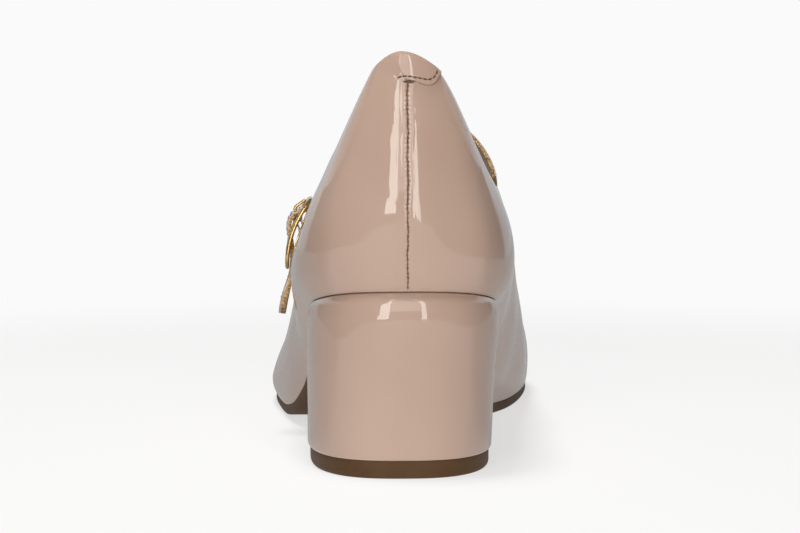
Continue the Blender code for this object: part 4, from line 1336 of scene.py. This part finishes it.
def punch_hole(obj, route, wide, out, near, number):
    """Cuts a round hole through the strap where it passes nearest to a place."""
    i = int(np.argmin(np.linalg.norm(route - near, axis=1)))
    run = np.cross(wide[i], out[i])
    angle = np.linspace(0, 2 * np.pi, 28, endpoint=False)
    ring = HOLE_RADIUS * (np.cos(angle)[:, None] * run + np.sin(angle)[:, None] * wide[i])
    grid = np.array([route[i] + ring + d * out[i] for d in (-1.6, 1.6)])
    cutter = turn_outward(skin("hole_%d" % number, grid, wrap_columns=True, caps=True))
    cut = obj.modifiers.new("Hole", "BOOLEAN")
    cut.object = cutter
    cut.solver = "EXACT"
    with bpy.context.temp_override(object=obj, active_object=obj, selected_objects=[obj]):
        bpy.ops.object.modifier_apply(modifier=cut.name)
    bpy.data.objects.remove(cutter)


def make_strap_threads(route, wide, out, way, half, deep):
    """Brown stitches along both margins of the strap's face."""
    made = []
    for side in (-1, 1):
        at = 0.8
        while at < way[-1] - TIP - 1.2:
            knots = []
            for t, proud in ((0.0, -0.2), (0.22, 0.0), (0.78, 0.0), (1.0, -0.2)):
                low, f = divmod(np.interp(at + STRAP_STITCH * t, way, np.arange(len(way))), 1.0)
                low = int(low)
                middle, across, away, reach = (
                    (1 - f) * row[low] + f * row[low + 1] for row in (route, wide, out, half))
                top = deep[low] - STRAP_STITCH_SUNK
                knots.append(middle + side * (reach - STRAP_ROW_INSET) * across
                             + (top + proud) * away)
            made.append(knots)
            at += STRAP_STITCH_PITCH
    finish(stitches("strap_thread", made, STITCH_RADII), [sewing])


def make_buckle():
    """The gilt frame, its bar, the prong coiled on it, and the leather tab that holds it."""
    straight = np.array((BUCKLE_HALF_LENGTH, BUCKLE_HALF_WIDTH)) - BUCKLE_CORNER
    corners = np.array(((1, 1), (-1, 1), (-1, -1), (1, -1))) * straight
    rim = []
    for quarter in range(4):
        for angle in math.pi / 2 * (quarter + np.arange(22) / 21):
            here, following = (corners[k % 4] + BUCKLE_CORNER * np.array(
                (math.cos(angle), math.sin(angle))) for k in (quarter, quarter + 1))
            rim.append((*here, angle))
        rim += [(*(here + t * (following - here)), angle) for t in (0.25, 0.5, 0.75)]
    wide, deep = BUCKLE_RIM[0] / 2, BUCKLE_RIM[1] / 2
    profile = []
    for a in np.linspace(0, 2 * np.pi, 24, endpoint=False):
        c, s = math.cos(a), math.sin(a)
        profile.append((wide * math.copysign(abs(c) ** 0.8, c),
                        deep * math.copysign(abs(s) ** (0.9 if s > 0 else 0.55), s)))
    grid = np.array([[buckle_point(along + w * math.cos(angle), across + w * math.sin(angle), d)
                      for w, d in profile] for along, across, angle in rim])
    frame_ring = turn_outward(skin("buckle_rim", grid, wrap_rows=True, wrap_columns=True))
    finish(frame_ring, [gold], ["buckle_frame"])
    reach = BUCKLE_HALF_WIDTH - 0.6
    bar = tube("buckle_pin", [buckle_point(BUCKLE_BAR_AT, a, 0.0)
                              for a in np.linspace(-reach, reach, 9)], BUCKLE_BAR_RADIUS, 20)
    finish(bar, [gold], ["buckle_bar"])
    path = smooth_curve(PRONG_ROUTE, 60)
    prong = tube("buckle_tongue", [buckle_point(a, 0.0, o) for a, o, _ in path], path[:, 2], 16)
    finish(prong, [gold], ["buckle_prong"])
    route = np.array([buckle_point(a, 0.0, o) for a, o in smooth_curve(TAB_ROUTE, 90)])
    across = np.array((0.0, 1.0, 0.0))
    out = unit(np.cross(unit(np.gradient(route, axis=0)), across))
    face = [(a, 0.22 - 0.08 * (abs(a) > 0.985)) for a in np.linspace(-1, 1, 23)]
    outline = face + [(a, -b) for a, b in face[::-1]]
    grid = np.array([[p + a * TAB_WIDTH / 2 * across + b * o for a, b in outline]
                     for p, o in zip(route, out)])
    tab = turn_outward(skin("buckle_loop", grid, wrap_columns=True, caps=True))
    tab.data.set_sharp_from_angle(angle=math.radians(42))
    add_seam_mark_and_shade(tab)
    finish(tab, [patent], ["buckle_tab"])


# ---- the scene ----
make_camera()
make_studio()
patent = patent_leather()
lining = lining_leather("lining_leather")
sock = lining_leather("sock_leather")
cut_edge = raw_edge()
rubber = brown_rubber()
gold = gold_plate()
sewing = thread("brown_thread", THREAD)
pale_sewing = thread("pale_thread", PALE_THREAD)
make_upper()
make_back_seam()
make_back_tab()
make_seam_threads()
make_tab_threads()
make_outsole()
make_insole()
make_insole_threads()
make_heel_block()
make_top_piece()
make_strap()
make_buckle()

bpy.context.view_layer.update()
